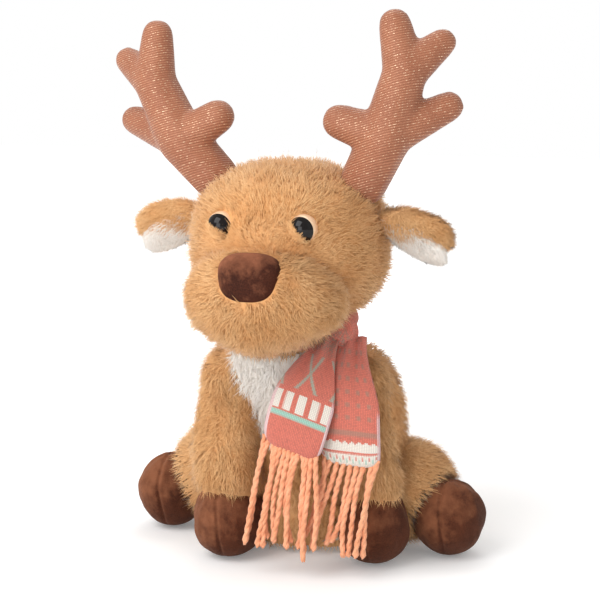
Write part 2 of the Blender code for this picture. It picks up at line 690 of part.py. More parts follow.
def make_scarf(finishes):
    """Loop, knot, two tails and their fringes."""
    inner = NECK_RADIUS + GAP
    base = (0.0, NECK_Y, LOOP_BOTTOM)
    top = (0.0, NECK_Y, LOOP_TOP)
    outer = inner + LOOP_WALL
    loop = add_object("scarf_loop", rod(base, top, outer, outer, 32, False), finishes["scarf"])
    span = Vector((0.0, 0.0, OVERRUN))
    bore = rod(Vector(base) - span, Vector(top) + span, inner, inner, 32, False)
    cut(loop, add_object("cut_loop_bore", bore))
    around = rod(Vector(base) - span, Vector(top) + span, outer + GAP, outer + GAP, 32, False)
    around = add_object("cut_loop", around)
    knot_centre = Vector((KNOT_X, KNOT_Y, KNOT_Z))
    knot = add_object("scarf_knot", ball(knot_centre, KNOT_RADIUS), finishes["scarf"], knot_centre)
    cut(knot, around)
    wide_knot = add_object("cut_knot", ball(knot_centre, KNOT_RADIUS + GAP))
    tails = (
        ("front", FRONT_START, FRONT_HEM, FRONT_FRINGE),
        ("back", BACK_START, BACK_HEM, BACK_FRINGE),
    )
    for name, first, hem, ends in tails:
        hem = Vector(hem)
        ends = Vector(ends)
        lead = (hem - knot_centre).normalized()
        start = knot_centre + Vector(first) + lead * KNOT_RADIUS * TAIL_START
        rows = 7
        rings = []
        for row in range(rows):
            t = row / (rows - 1)
            width = STRAP_PINCH + (STRAP_WIDTH - STRAP_PINCH) * min(1.0, STRAP_SPREAD * t)
            middle = start.lerp(hem, t) - Vector((0.0, 4.0 * STRAP_BOW * t * (1.0 - t), 0.0))
            rings.append((middle, width / 2.0, STRAP_THICK / 2.0))
        facing = Vector((1, 0, 0)).cross(hem - start)
        strap = slab(rings, facing)
        tail = add_object(f"scarf_tail_{name}", strap, finishes["scarf"], knot_centre)
        cut(tail, wide_knot, around)
        low_start = hem + (ends - hem).normalized() * GAP
        rings = []
        for row in range(rows):
            t = row / (rows - 1)
            half = STRAP_WIDTH / 2.0 * (1.0 + FRINGE_FLARE * t)
            rings.append((low_start.lerp(ends, t), half, FRINGE_THICK / 2.0))
        fringe = slab(rings, Vector((1, 0, 0)).cross(ends - low_start))
        piece = add_object(f"fringe_{name}", fringe, finishes["fringe"], knot_centre)
        under_hem = add_object(f"cut_hem_{name}", hem_block(hem, start))
        cut(piece, under_hem)


def slab(rings, facing):
    """A flat strap through rings of (centre, half width, half thickness), with rounded edges."""
    return swell(rings, (1, 0, 0), facing, 12, flat_start=True, flat_end=True)


def hem_block(hem, start):
    """The space on the strap's side of its hem, which the fringe keeps clear of."""
    up = (start - hem).normalized()
    across = Vector((1, 0, 0))
    facing = across.cross(up).normalized()
    outline = [hem + (across * a + facing * b) * OVERRUN for a, b in SQUARE]
    return prism(outline, -1.5 * GAP, OVERRUN, up)


def main():
    """Build the whole toy."""
    clear_scene()
    finishes = {
        "tan": finish("tan_fur", (0.60, 0.32, 0.13), 0.9),
        "white": finish("white_fur", (0.86, 0.80, 0.72), 0.9),
        "velour": finish("brown_velour", (0.11, 0.035, 0.02), 0.85),
        "knit": finish("glitter_knit", (0.43, 0.16, 0.08), 0.6, 0.2),
        "scarf": finish("scarf_knit", (0.67, 0.16, 0.12), 0.8),
        "fringe": finish("fringe_yarn", (0.80, 0.30, 0.16), 0.85),
        "bead": finish("black_bead", (0.01, 0.008, 0.008), 0.08),
        "washer": finish("washer_plastic", (0.75, 0.75, 0.73), 0.4),
        "filling": finish("polyester_filling", (0.85, 0.85, 0.83), 1.0),
        "pouch": finish("pouch_cloth", (0.55, 0.50, 0.42), 0.9),
    }
    make_trunk(finishes)
    make_head(finishes)
    for side, sign in SIDES.items():
        make_ear(side, sign, finishes)
        make_antler(side, sign, finishes)
        make_front_leg(side, finishes)
        make_rear_leg(side, sign, finishes)
    make_tail(finishes)
    make_scarf(finishes)


main()
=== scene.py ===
# %% [markdown]
# # A sitting plush deer
# The toy is sewn from long-pile fur, short velour and a glittering rib knit, and wears a printed
# scarf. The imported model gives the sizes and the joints. This lesson dresses it: each stuffed form
# gets a smooth skin, the fur stands on the skins as real tufts, and the cloth gets its own weave.

# %% Load the model that the looks are built around
import math

import bmesh
import bpy
import numpy as np
from mathutils import Matrix, Vector
from mathutils.bvhtree import BVHTree


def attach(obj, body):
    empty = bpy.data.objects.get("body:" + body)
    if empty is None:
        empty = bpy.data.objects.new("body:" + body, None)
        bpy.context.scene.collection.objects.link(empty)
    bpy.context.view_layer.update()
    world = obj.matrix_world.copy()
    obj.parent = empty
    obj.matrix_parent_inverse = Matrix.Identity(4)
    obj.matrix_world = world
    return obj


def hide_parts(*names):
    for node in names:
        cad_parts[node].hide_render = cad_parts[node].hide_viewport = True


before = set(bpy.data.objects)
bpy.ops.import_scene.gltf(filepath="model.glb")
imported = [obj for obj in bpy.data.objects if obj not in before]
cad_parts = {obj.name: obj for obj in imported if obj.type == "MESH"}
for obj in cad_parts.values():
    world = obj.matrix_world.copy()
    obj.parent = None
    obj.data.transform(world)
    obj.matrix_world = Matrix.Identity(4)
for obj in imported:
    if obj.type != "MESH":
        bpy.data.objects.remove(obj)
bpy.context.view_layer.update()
MM = 0.001
SIDES = {"left": 1.0, "right": -1.0}

# %% [markdown]
# The camera comes first, so that every later choice can be compared with the photograph. The toy is
# seen a little from its own left and from slightly above, through a long lens, as in a packshot.

# %% Camera
CAMERA_AZIMUTH = math.radians(20.0)
CAMERA_ELEVATION = math.radians(9.0)
CAMERA_DISTANCE = 926.0 * MM
LENS = 100.0
LOOK_AT = Vector((-1.6 * MM, 0.0, 139.5 * MM))


def direction_from(azimuth, elevation):
    """Which way the camera lies, seen from the toy."""
    flat = math.cos(elevation)
    return Vector((math.sin(azimuth) * flat, -math.cos(azimuth) * flat, math.sin(elevation)))


def add_camera():
    """A camera that looks at the middle of the toy."""
    camera = bpy.data.objects.new("camera", bpy.data.cameras.new("camera"))
    camera.data.lens = LENS
    toward = direction_from(CAMERA_AZIMUTH, CAMERA_ELEVATION)
    camera.location = LOOK_AT + toward * CAMERA_DISTANCE
    camera.rotation_euler = toward.to_track_quat("Z", "Y").to_euler()
    bpy.context.scene.collection.objects.link(camera)
    bpy.context.scene.camera = camera
    return camera


camera = add_camera()
print("camera at", [round(value, 3) for value in camera.location])

# %% [markdown]
# Materials are built from shader nodes. Made one by one, each node takes several lines, so a few
# short helpers do it: one adds any node with its settings and inputs, and the others add the kinds
# that come up again and again, such as a sum, a change of range or a blend of two colours.

# %% Helpers for shader nodes


def add_node(tree, kind, inputs=None, **settings):
    """Add a node. inputs maps a socket's name or number to a value or another node's output."""
    node = tree.nodes.new(kind)
    for name, value in settings.items():
        setattr(node, name, value)
    for name, value in (inputs or {}).items():
        if isinstance(value, bpy.types.NodeSocket):
            tree.links.new(value, node.inputs[name])
        else:
            node.inputs[name].default_value = value
    return node


def calc(tree, operation, *values):
    """Add a math node, feed it values or other nodes' outputs, and give its result."""
    node = add_node(tree, "ShaderNodeMath", dict(enumerate(values)), operation=operation)
    return node.outputs["Value"]


def map_range(tree, value, low, high, to_low=0.0, to_high=1.0):
    """Stretch the values from low to high over another range, and hold them inside it."""
    ends = {"From Min": low, "From Max": high, "To Min": to_low, "To Max": to_high}
    return add_node(tree, "ShaderNodeMapRange", {"Value": value, **ends}).outputs["Result"]


def blend_colour(tree, below, above, mask):
    """Lay one colour over another where a mask is 1."""
    inputs = {"Factor": mask}
    for name, colour in (("A", below), ("B", above)):
        inputs[name] = (*colour, 1.0) if isinstance(colour, tuple) else colour
    return add_node(tree, "ShaderNodeMix", inputs, data_type="RGBA").outputs["Result"]


def add_noise(tree, place, scale, detail, roughness=0.5):
    """Soft noise over space, from 0 to 1."""
    inputs = {"Vector": place, "Scale": scale, "Detail": detail, "Roughness": roughness}
    return add_node(tree, "ShaderNodeTexNoise", inputs).outputs["Fac"]


# %% [markdown]
# A packshot has a white floor that keeps only a soft contact shadow. The floor is a plain white
# surface, and what the camera sees of the world is white as well. Large soft lamps give the fur its
# roundness without hard edges, and they leave the colours about as they are written.

# %% Floor and world
PURE_WHITE = (1.0, 1.0, 1.0, 1.0)
WARM_WHITE = (1.0, 0.985, 0.965, 1.0)
FLOOR_WHITE = (0.93, 0.93, 0.93, 1.0)
WORLD_STRENGTH = 0.66
FLOOR_HALF = 3.0
GLOW_START = 0.12
GLOW_END = 0.60
GLOW_NEAR = 0.16
GLOW_FAR = 0.60


def add_world():
    """White where the camera looks at it, and an even pale light elsewhere."""
    world = bpy.data.worlds.new("studio")
    bpy.context.scene.world = world
    world.use_nodes = True
    tree = world.node_tree
    tree.nodes.clear()
    path = add_node(tree, "ShaderNodeLightPath").outputs
    light = {"Color": WARM_WHITE, "Strength": WORLD_STRENGTH}
    even = add_node(tree, "ShaderNodeBackground", light).outputs["Background"]
    seen = add_node(tree, "ShaderNodeBackground", {"Color": PURE_WHITE}).outputs["Background"]
    mix = add_node(tree, "ShaderNodeMixShader", {"Fac": path["Is Camera Ray"], 1: even, 2: seen})
    add_node(tree, "ShaderNodeOutputWorld", {"Surface": mix.outputs["Shader"]})


def add_floor():
    """A white floor that glows a little for the camera, so that it meets the white backdrop."""
    bpy.ops.mesh.primitive_plane_add(size=2.0 * FLOOR_HALF, location=(0.0, 0.0, 0.0))
    floor = bpy.context.object
    floor.name = "floor"
    material = bpy.data.materials.new("white_floor")
    material.use_nodes = True
    tree = material.node_tree
    shader = tree.nodes["Principled BSDF"]
    shader.inputs["Base Color"].default_value = FLOOR_WHITE
    shader.inputs["Roughness"].default_value = 0.9
    shader.inputs["Specular IOR Level"].default_value = 0.1
    shader.inputs["Emission Color"].default_value = PURE_WHITE
    path = add_node(tree, "ShaderNodeLightPath").outputs
    place = add_node(tree, "ShaderNodeTexCoord").outputs["Object"]
    reach = add_node(tree, "ShaderNodeVectorMath", {0: place}, operation="LENGTH")
    far = map_range(tree, reach.outputs["Value"], GLOW_START, GLOW_END, GLOW_NEAR, GLOW_FAR)
    seen = calc(tree, "MAXIMUM", path["Is Camera Ray"], path["Is Glossy Ray"])
    tree.links.new(calc(tree, "MULTIPLY", seen, far), shader.inputs["Emission Strength"])
    floor.data.materials.append(material)


add_world()
add_floor()
print("floor:", 2.0 * FLOOR_HALF, "m wide")

# %% Lamps
# Each lamp has a name, an azimuth and an elevation in degrees, a distance and a size in metres, and
# a power in watts.
LAMPS = (
    ("key", -28.0, 42.0, 1.3, 0.9, 10.0),
    ("fill", 75.0, 25.0, 1.4, 1.0, 0.7),
    ("front", -8.0, 6.0, 1.5, 0.8, 6.6),
    ("back", 190.0, 55.0, 1.4, 0.9, 4.0),
)


def add_lamp(name, azimuth, elevation, distance, size, power):
    """A large square lamp that faces the toy."""
    lamp = bpy.data.objects.new(name, bpy.data.lights.new(name, "AREA"))
    lamp.data.size = size
    lamp.data.energy = power
    toward = direction_from(math.radians(azimuth), math.radians(elevation))
    lamp.location = LOOK_AT + toward * distance
    lamp.rotation_euler = toward.to_track_quat("Z", "Y").to_euler()
    bpy.context.scene.collection.objects.link(lamp)


for lamp in LAMPS:
    add_lamp(*lamp)
bpy.context.scene.view_settings.view_transform = "Standard"
print("lamps:", ", ".join(lamp[0] for lamp in LAMPS))

# %% [markdown]
# Every cloth here varies a little in tone over its surface. That is one shader node group, with two
# tones and two sizes as inputs, and each material that needs it puts in its own values.

# %% The tone group that the cloths share


def start_group(name, inputs, outputs):
    """A node group with its sockets: inputs as (name, kind, value), outputs as (name, kind)."""
    group = bpy.data.node_groups.new(name, "ShaderNodeTree")
    for label, kind, value in inputs:
        made = group.interface.new_socket(
            name=label, in_out="INPUT", socket_type=f"NodeSocket{kind}"
        )
        if value is not None:
            made.default_value = value
    for label, kind in outputs:
        group.interface.new_socket(name=label, in_out="OUTPUT", socket_type=f"NodeSocket{kind}")
    return group


def make_tone_group():
    """Blend two tones by soft blotches and fine specks."""
    inputs = (
        ("Dark", "Color", (0.2, 0.1, 0.05, 1.0)),
        ("Light", "Color", (0.5, 0.3, 0.2, 1.0)),
        ("Blotch Scale", "Float", 60.0),
        ("Speck Scale", "Float", 900.0),
    )
    group = start_group("cloth_tone", inputs, (("Colour", "Color"), ("Speck", "Float")))
    entry = add_node(group, "NodeGroupInput").outputs
    place = add_node(group, "ShaderNodeTexCoord").outputs["Object"]
    blotch = add_noise(group, place, entry["Blotch Scale"], 3.0)
    speck = add_noise(group, place, entry["Speck Scale"], 2.0)
    spread = map_range(group, calc(group, "ADD", blotch, speck), 0.72, 1.28)
    colour = blend_colour(group, entry["Dark"], entry["Light"], spread)
    add_node(group, "NodeGroupOutput", {"Colour": colour, "Speck": speck})
    return group


TONE = make_tone_group()
print("tone group sockets:", [item.name for item in TONE.interface.items_tree])

# %% Starting a material


def start_material(name, roughness, sheen=0.0, sheen_roughness=0.4, sheen_tint=(1.0, 1.0, 1.0)):
    """A material with its shader's constant values set."""
    material = bpy.data.materials.new(name)
    material.use_nodes = True
    shader = material.node_tree.nodes["Principled BSDF"]
    shader.inputs["Roughness"].default_value = roughness
    shader.inputs["Specular IOR Level"].default_value = 0.25
    shader.inputs["Sheen Weight"].default_value = sheen
    shader.inputs["Sheen Roughness"].default_value = sheen_roughness
    shader.inputs["Sheen Tint"].default_value = (*sheen_tint, 1.0)
    return material, shader


def feed(shader, name, output):
    """Link another node's output to one of the shader's sockets."""
    shader.id_data.links.new(output, shader.inputs[name])


def place_tone(tree, dark, light, blotch, speck):
    """Put the shared tone group into a material, with this material's own values."""
    tones = {"Dark": (*dark, 1.0), "Light": (*light, 1.0)}
    scales = {"Blotch Scale": blotch, "Speck Scale": speck}
    return add_node(tree, "ShaderNodeGroup", {**tones, **scales}, node_tree=TONE).outputs


def add_bump(shader, height, strength, distance):
    """Feed a height into a material's normal."""
    inputs = {"Height": height, "Strength": strength, "Distance": distance}
    bump = add_node(shader.id_data, "ShaderNodeBump", inputs)
    feed(shader, "Normal", bump.outputs["Normal"])


def make_plain(name, roughness, tones, scales, bump=None, sheen=(), own=None):
    """A finish of two tones, with a grain if bump is given. own holds other shader values."""
    material, shader = start_material(name, roughness, *sheen)
    tone = place_tone(material.node_tree, *tones, *scales)
    feed(shader, "Base Color", tone["Colour"])
    if bump is not None:
        add_bump(shader, tone["Speck"], *bump)
    for label, value in (own or {}).items():
        shader.inputs[label].default_value = value
    return material


# %% [markdown]
# Fur is painted darker down at the backing, as painted shade where little light comes in, and
# lighter at its tips. Each tuft carries a value named along, 0 at its root and 1 at its tip, and the
# fur's material reads it. The slot that a finish belongs to in the imported record is kept beside
# its material.

# %% Fur materials


def make_fur(name, dark, light, root_shade):
    """Long pile: tone over the body, and painted shade that darkens it towards the roots."""
    material, shader = start_material(name, 0.82, 0.25, 0.45)
    tree = material.node_tree
    tone = place_tone(tree, dark, light, 55.0, 700.0)
    along = add_node(tree, "ShaderNodeAttribute", attribute_name="along").outputs["Fac"]
    # Painted shade at the roots, fading out towards the tips.
    root = map_range(tree, along, 0.0, 0.7, 1.0, 0.0)
    feed(shader, "Base Color", blend_colour(tree, tone["Colour"], root_shade, root))
    add_bump(shader, tone["Speck"], 0.5, 0.6 * MM)
    return material


# The third colour of each fur is its painted shade at the roots.
TAN_FUR = make_fur("tan_fur", (0.76, 0.385, 0.150), (0.92, 0.575, 0.285), (0.60, 0.27, 0.095))
WHITE_FUR = make_fur("white_fur", (0.99, 0.92, 0.84), (1.00, 0.97, 0.92), (0.97, 0.89, 0.79))
TAN = ("tan_fur", TAN_FUR)
WHITE = ("white_fur", WHITE_FUR)
print("furs:", TAN_FUR.name, "and", WHITE_FUR.name)

# %% [markdown]
# Velour is pile too, but short and dense. A hand that brushes it leaves paler strokes, and a second
# node group gives their mask from streaky noise. The same mask holds a painted highlight: how far
# the surface faces up and towards the key lamp.

# %% Velour materials
# The ways that the velours' painted highlights face, up and towards the key lamp.
HIGHLIGHT_WAY = (-0.55, -0.35, 0.76)
NOSE_HIGHLIGHT_WAY = (-0.62, -0.10, 0.85)
STROKE_SHARE = 2.6


def make_nap_highlight_group():
    """Painted highlight where a surface faces a direction, with the pile's own pale strokes added.
    """
    inputs = (("Way", "Vector", None), ("Stroke Scale", "Float", 120.0))
    group = start_group("nap_strokes_and_highlight", inputs, (("Mask", "Float"),))
    entry = add_node(group, "NodeGroupInput").outputs
    place = add_node(group, "ShaderNodeTexCoord").outputs
    pair = {0: place["Normal"], 1: entry["Way"]}
    # facing paints the highlight; the strokes are the pile's own.
    facing = add_node(group, "ShaderNodeVectorMath", pair, operation="DOT_PRODUCT")
    stroke = add_noise(group, place["Object"], entry["Stroke Scale"], 6.0, 0.62)
    total = calc(group, "MULTIPLY_ADD", stroke, STROKE_SHARE, facing.outputs["Value"])
    add_node(group, "NodeGroupOutput", {"Mask": map_range(group, total, 1.20, 2.25)})
    return group


def make_velour(name, dark, light, stroke_and_highlight_colour, speck, way):
    """Short dense pile: pale strokes, a painted highlight on one side, and a soft edge sheen."""
    material, shader = start_material(name, 0.88, 0.12, 0.35, (1.0, 0.60, 0.42))
    tree = material.node_tree
    tone = place_tone(tree, dark, light, 90.0, speck)
    # One mask for the painted highlight and the pale strokes.
    stroke_and_highlight_mask = add_node(tree, "ShaderNodeGroup", {"Way": way}, node_tree=NAP_AND_HIGHLIGHT).outputs["Mask"]
    feed(shader, "Base Color", blend_colour(tree, tone["Colour"], stroke_and_highlight_colour, stroke_and_highlight_mask))
    add_bump(shader, tone["Speck"], 0.7, 0.5 * MM)
    return material


NAP_AND_HIGHLIGHT = make_nap_highlight_group()
# The third colour of each velour is the pale tone of its strokes and of its painted highlight.
VELOUR = make_velour(
    "brown_velour", (0.045, 0.010, 0.003), (0.100, 0.027, 0.010), (0.225, 0.080, 0.036), 1500.0,
    HIGHLIGHT_WAY
)
NOSE_CLOTH = make_velour(
    "nose_velour", (0.030, 0.006, 0.002), (0.068, 0.016, 0.006), (0.270, 0.094, 0.046), 1200.0,
    NOSE_HIGHLIGHT_WAY
)
print("velours:", VELOUR.name, "and", NOSE_CLOTH.name)

# %% [markdown]
# The stuffed forms are lofts: rings along a line, each with its own width and depth. The same rings
# as in the model are used, with more of them, so that the skin lies where the solids are.

# %% Sizes of the stuffed forms
BODY_TOP = 118.5 * MM
BODY_HALF_WIDTH = 50.0 * MM
BODY_HALF_DEPTH = 38.0 * MM
BODY_LEAN = 20.0 * MM
BODY_SEAT_Y = 12.0 * MM
# Each ring of the trunk: its height, half width, half depth and lean, as shares.
BODY_SHARES = (
    (0.000, 0.80, 0.86, -0.10),
    (0.050, 0.94, 0.98, -0.06),
    (0.180, 1.10, 1.06, 0.00),
    (0.400, 1.18, 1.05, 0.10),
    (0.620, 1.20, 1.02, 0.36),
    (0.810, 1.16, 0.98, 0.66),
    (0.930, 1.04, 0.93, 0.90),
    (1.000, 0.82, 0.82, 1.06),
)
NECK_Y = -10.0 * MM
NECK_RADIUS = 31.4 * MM
NECK_TOP = 140.0 * MM
HEAD_Y = -19.5 * MM
HEAD_TOP = 219.0 * MM
HEAD_HALF_WIDTH = 55.0 * MM
HEAD_HALF_DEPTH = 53.0 * MM
# Each ring of the head: its height, half width and half depth, as shares.
HEAD_SHARES = (
    (0.00, 0.70, 0.70),
    (0.10, 0.88, 0.86),
    (0.27, 0.99, 0.98),
    (0.48, 1.00, 1.00),
    (0.68, 0.95, 0.94),
    (0.84, 0.80, 0.80),
    (0.95, 0.52, 0.54),
    (1.00, 0.20, 0.22),
)
MUZZLE_ROOT_Y = -30.0 * MM
MUZZLE_TIP_Y = -88.5 * MM
MUZZLE_Z = 149.0 * MM
MUZZLE_HALF_WIDTH = 44.0 * MM
MUZZLE_HALF_HEIGHT = 31.0 * MM
MUZZLE_RISE = 4.0 * MM
CHIN_BACK_Y = -45.0 * MM
# Each ring of the muzzle: its way along, half width, half height and rise, as shares.
MUZZLE_SHARES = (
    (0.00, 0.86, 0.90, 0.0),
    (0.28, 0.98, 1.00, 0.0),
    (0.52, 1.00, 1.00, 0.0),
    (0.74, 0.91, 0.90, 0.2),
    (0.89, 0.70, 0.70, 0.6),
    (0.97, 0.42, 0.44, 1.0),
    (1.00, 0.16, 0.18, 1.0),
)
for form, shares in (("trunk", BODY_SHARES), ("head", HEAD_SHARES), ("muzzle", MUZZLE_SHARES)):
    print(form, "has", len(shares), "rings")

# %% Lofted skins


def between(values, t):
    """Read a smooth curve through evenly numbered values at t from 0 to 1."""
    last = len(values) - 1
    place = min(max(t, 0.0), 1.0) * last
    index = min(int(place), last - 1)
    f = place - index
    around = (max(index - 1, 0), index, index + 1, min(index + 2, last))
    a, b, c, d = (np.array(values[number]) for number in around)
    curve = (2.0 * f**3 - 3.0 * f**2 + 1.0) * b + (f**3 - 2.0 * f**2 + f) * (c - a) / 2.0
    return curve + (3.0 * f**2 - 2.0 * f**3) * c + (f**3 - f**2) * (d - b) / 2.0


def smooth_rings(shares, rows, ring):
    """Rings at even steps through a table of shares. ring makes one from a row of shares."""
    return [ring(*between(shares, row / (rows - 1))) for row in range(rows)]


def bridge(shape, loops):
    """Join each loop of vertices to the next one with quads."""
    for low, high in zip(loops, loops[1:]):
        for number in range(len(low)):
            following = (number + 1) % len(low)
            shape.faces.new((low[number], low[following], high[following], high[number]))


def cap(shape, loop, place):
    """Close a loop of vertices with triangles that meet at a point."""
    pole = shape.verts.new(Vector(place))
    for number in range(len(loop)):
        shape.faces.new((loop[number], loop[(number + 1) % len(loop)], pole))


def make_ball(around, rows, radius):
    """A sphere in rings, with its faces in the same order each time, so that fur grows the same."""
    shape = bmesh.new()
    turns = [math.tau * number / around for number in range(around)]
    loops = []
    for row in range(1, rows):
        wide = radius * math.sin(math.pi * row / rows)
        level = radius * math.cos(math.pi * row / rows)
        places = [(wide * math.cos(turn), wide * math.sin(turn), level) for turn in turns]
        loops.append([shape.verts.new(place) for place in places])
    bridge(shape, loops)
    cap(shape, loops[0], (0.0, 0.0, radius))
    cap(shape, loops[-1], (0.0, 0.0, -radius))
    bmesh.ops.recalc_face_normals(shape, faces=shape.faces)
    return shape


def loft(name, rings, across, up, sides=64):
    """A closed smooth skin through rings of (centre, half width, half depth)."""
    shape = bmesh.new()
    across = Vector(across).normalized()
    up = Vector(up).normalized()
    loops = []
    for centre, wide, deep in rings:
        loop = []
        for number in range(sides):
            angle = math.tau * number / sides
            offset = across * (wide * math.cos(angle)) + up * (deep * math.sin(angle))
            loop.append(shape.verts.new(Vector(centre) + offset))
        loops.append(loop)
    bridge(shape, loops)
    cap(shape, loops[0], rings[0][0])
    cap(shape, loops[-1], rings[-1][0])
    bmesh.ops.recalc_face_normals(shape, faces=shape.faces)
    return finish_mesh(name, shape)


def finish_mesh(name, shape):
    """Turn a bmesh into a smooth object."""
    mesh = bpy.data.meshes.new(name)
    shape.to_mesh(mesh)
    shape.free()
    mesh.shade_smooth()
    piece = bpy.data.objects.new(name, mesh)
    bpy.context.scene.collection.objects.link(piece)
    return piece

# %% [markdown]
# A loft's rings leave an even grid but a pinched top, and a copy of a solid has flat facets. Both
# are melted: voxels turn the form into one even mesh, and a few rounds of smoothing relax it.

# %% Melting, copying and dressing


def apply_modifiers(piece):
    """Bake a piece's modifiers into its mesh."""
    bpy.context.view_layer.update()
    depsgraph = bpy.context.evaluated_depsgraph_get()
    mesh = bpy.data.meshes.new_from_object(piece.evaluated_get(depsgraph))
    piece.modifiers.clear()
    old = piece.data
    piece.data = mesh
    bpy.data.meshes.remove(old)


def fuse(piece, voxel, rounds):
    """Melt a piece into one even skin and relax it."""
    remesh = piece.modifiers.new("fuse", "REMESH")
    remesh.mode = "VOXEL"
    remesh.voxel_size = voxel
    if rounds:
        relax = piece.modifiers.new("relax", "SMOOTH")
        relax.factor = 0.5
        relax.iterations = rounds
    apply_modifiers(piece)
    piece.data.shade_smooth()


def copy_of(nodes, name):
    """A new object that holds the meshes of some of the model's solids."""
    shape = bmesh.new()
    for node in nodes:
        shape.from_mesh(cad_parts[node].data)
    return finish_mesh(name, shape)


def refine(piece):
    """Split every face of a melted piece once more, for detail that is finer than its voxels."""
    fine = piece.modifiers.new("fine", "SUBSURF")
    fine.levels = 1
    fine.render_levels = 1
    apply_modifiers(piece)


def inset(piece, depth):
    """Draw a skin in along its normals, to leave room for the pile."""
    for vertex, normal in [(vertex, vertex.normal.copy()) for vertex in piece.data.vertices]:
        vertex.co -= normal * depth


def dress(piece, body, slot, material, *nodes):
    """Give a piece its material, let it ride on its body, and hide the solids that it stands for."""
    piece.data.materials.clear()
    piece.data.materials.append(material)
    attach(piece, body)
    if nodes:
        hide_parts(*nodes)


# %% [markdown]
# Fur as geometry: points are scattered over a skin, and on each stands a thin three-sided tuft. It
# leaves the skin along the normal, then bends the way the pile is combed, and neighbours lean
# together into soft clumps. Each tuft also gets its own small cell in a UV map, for the finished
# model's colours.

# %% Points on a skin
LOWEST_ROOT = 1.5 * MM


def vertex_rows(mesh, what):
    """Each vertex's place (co) or normal, as a row of three numbers."""
    rows = np.empty(len(mesh.vertices) * 3)
    mesh.vertices.foreach_get(what, rows)
    return rows.reshape(-1, 3)


def unit_rows(rows, slack=0.0):
    """Rows scaled to a length of one. slack keeps a row without length from dividing by zero."""
    return rows / (np.linalg.norm(rows, axis=1)[:, None] + slack)


def skin_points(piece, count, keep, seed):
    """Scatter points over a skin by area, and keep those that a rule lets through."""
    mesh = piece.data
    mesh.calc_loop_triangles()
    corners = np.empty(len(mesh.loop_triangles) * 3, dtype=np.int32)
    mesh.loop_triangles.foreach_get("vertices", corners)
    corners = corners.reshape(-1, 3)
    places = vertex_rows(mesh, "co")
    facing = vertex_rows(mesh, "normal")
    a, b, c = places[corners[:, 0]], places[corners[:, 1]], places[corners[:, 2]]
    area = np.linalg.norm(np.cross(b - a, c - a), axis=1)
    random = np.random.default_rng(seed)
    chosen = random.choice(len(corners), size=count, p=area / area.sum())
    r = np.sqrt(random.random(count))[:, None]
    s = random.random(count)[:, None]
    weights = (1.0 - r, r * (1.0 - s), r * s)
    triple = corners[chosen]
    points = sum(weight * places[triple[:, k]] for k, weight in enumerate(weights))
    normals = unit_rows(sum(weight * facing[triple[:, k]] for k, weight in enumerate(weights)))
    above = points[:, 2] > LOWEST_ROOT
    points, normals = points[above], normals[above]
    if keep is not None:
        wanted = keep(points)
        points, normals = points[wanted], normals[wanted]
    return points, normals, random


def waves(points, size, seed):
    """A smooth, repeatable three-way wobble over space."""
    random = np.random.default_rng(seed)
    total = np.zeros_like(points)
    for turn in range(7):
        way = random.normal(size=(3, 3))
        way /= np.linalg.norm(way, axis=0)
        phase = random.random(3) * math.tau
        total += np.sin(points @ way * (math.tau / size / (0.7 + 0.22 * turn)) + phase)
    return total / 3.0


# %% The shape of one tuft
TUFT_WIDTH = 0.52 * MM
CLUMP_SIZE = 6.0 * MM
ROOT_DEPTH = 0.8 * MM
LOWEST_POINT = 0.3 * MM
UNTIDY = 0.30
TINY = 1e-9
# Swirls in the way the pile lies: strength, size and step of the seed.
SWIRLS = ((0.42, CLUMP_SIZE * 2.2, 1), (0.30, CLUMP_SIZE, 2))
# Up a tuft: share of its length, share of its width, and how far it bends over.
TUFT_STEPS = ((0.0, 1.0, 0.0), (0.5, 0.72, 0.30), (1.0, 0.0, 0.92))
# A tuft has seven points: three at its root, three half way up, and its tip.
TUFT_ALONG = (0.0, 0.0, 0.0, 0.5, 0.5, 0.5, 1.0)
TUFT_SIDES = ((0, 1, 4, 3), (1, 2, 5, 4), (2, 0, 3, 5))
TUFT_ENDS = ((3, 4, 6), (4, 5, 6), (5, 3, 6), (2, 1, 0))


def pile_way(points, normals, comb, seed, random):
    """Which way each tuft lies: combed, swirled into clumps, and a little untidy."""
    way = comb(points)
    for strength, size, step in SWIRLS:
        way = way + strength * waves(points, size, seed + step)
    way = way - normals * np.sum(way * normals, axis=1)[:, None]
    return unit_rows(way, TINY) + UNTIDY * random.normal(size=way.shape)


def tuft_places(points, normals, way, reach, lean, width):
    """Where each tuft's seven points lie."""
    start = points - normals * ROOT_DEPTH
    side = unit_rows(np.cross(way, normals), TINY)
    rows = []
    for share, thick, bend in TUFT_STEPS:
        rise = share * (1.0 - 0.35 * lean * share)
        middle = start + normals * reach * rise + way * reach * lean * bend
        if thick == 0.0:
            rows.append(middle)
            continue
        for corner in range(3):
            angle = math.tau * corner / 3.0 + 0.5
            out = side * math.cos(angle) + way * math.sin(angle) * 0.8
            rows.append(middle + out * width * thick / 2.0)
    places = np.stack(rows, axis=1)
    places[:, :, 2] = np.maximum(places[:, :, 2], LOWEST_POINT)
    return places


# %% A mesh of many tufts
# A bare skin takes one value of along, so it takes a share of the painted root shade.
SKIN_TONE = 0.35
SKIN_LIGHT = 1.6


def mark_along(mesh, values):
    """Store each vertex's value of along."""
    layer = mesh.attributes.new("along", "FLOAT", "POINT")
    layer.data.foreach_set("value", values.reshape(-1).astype(np.float32))


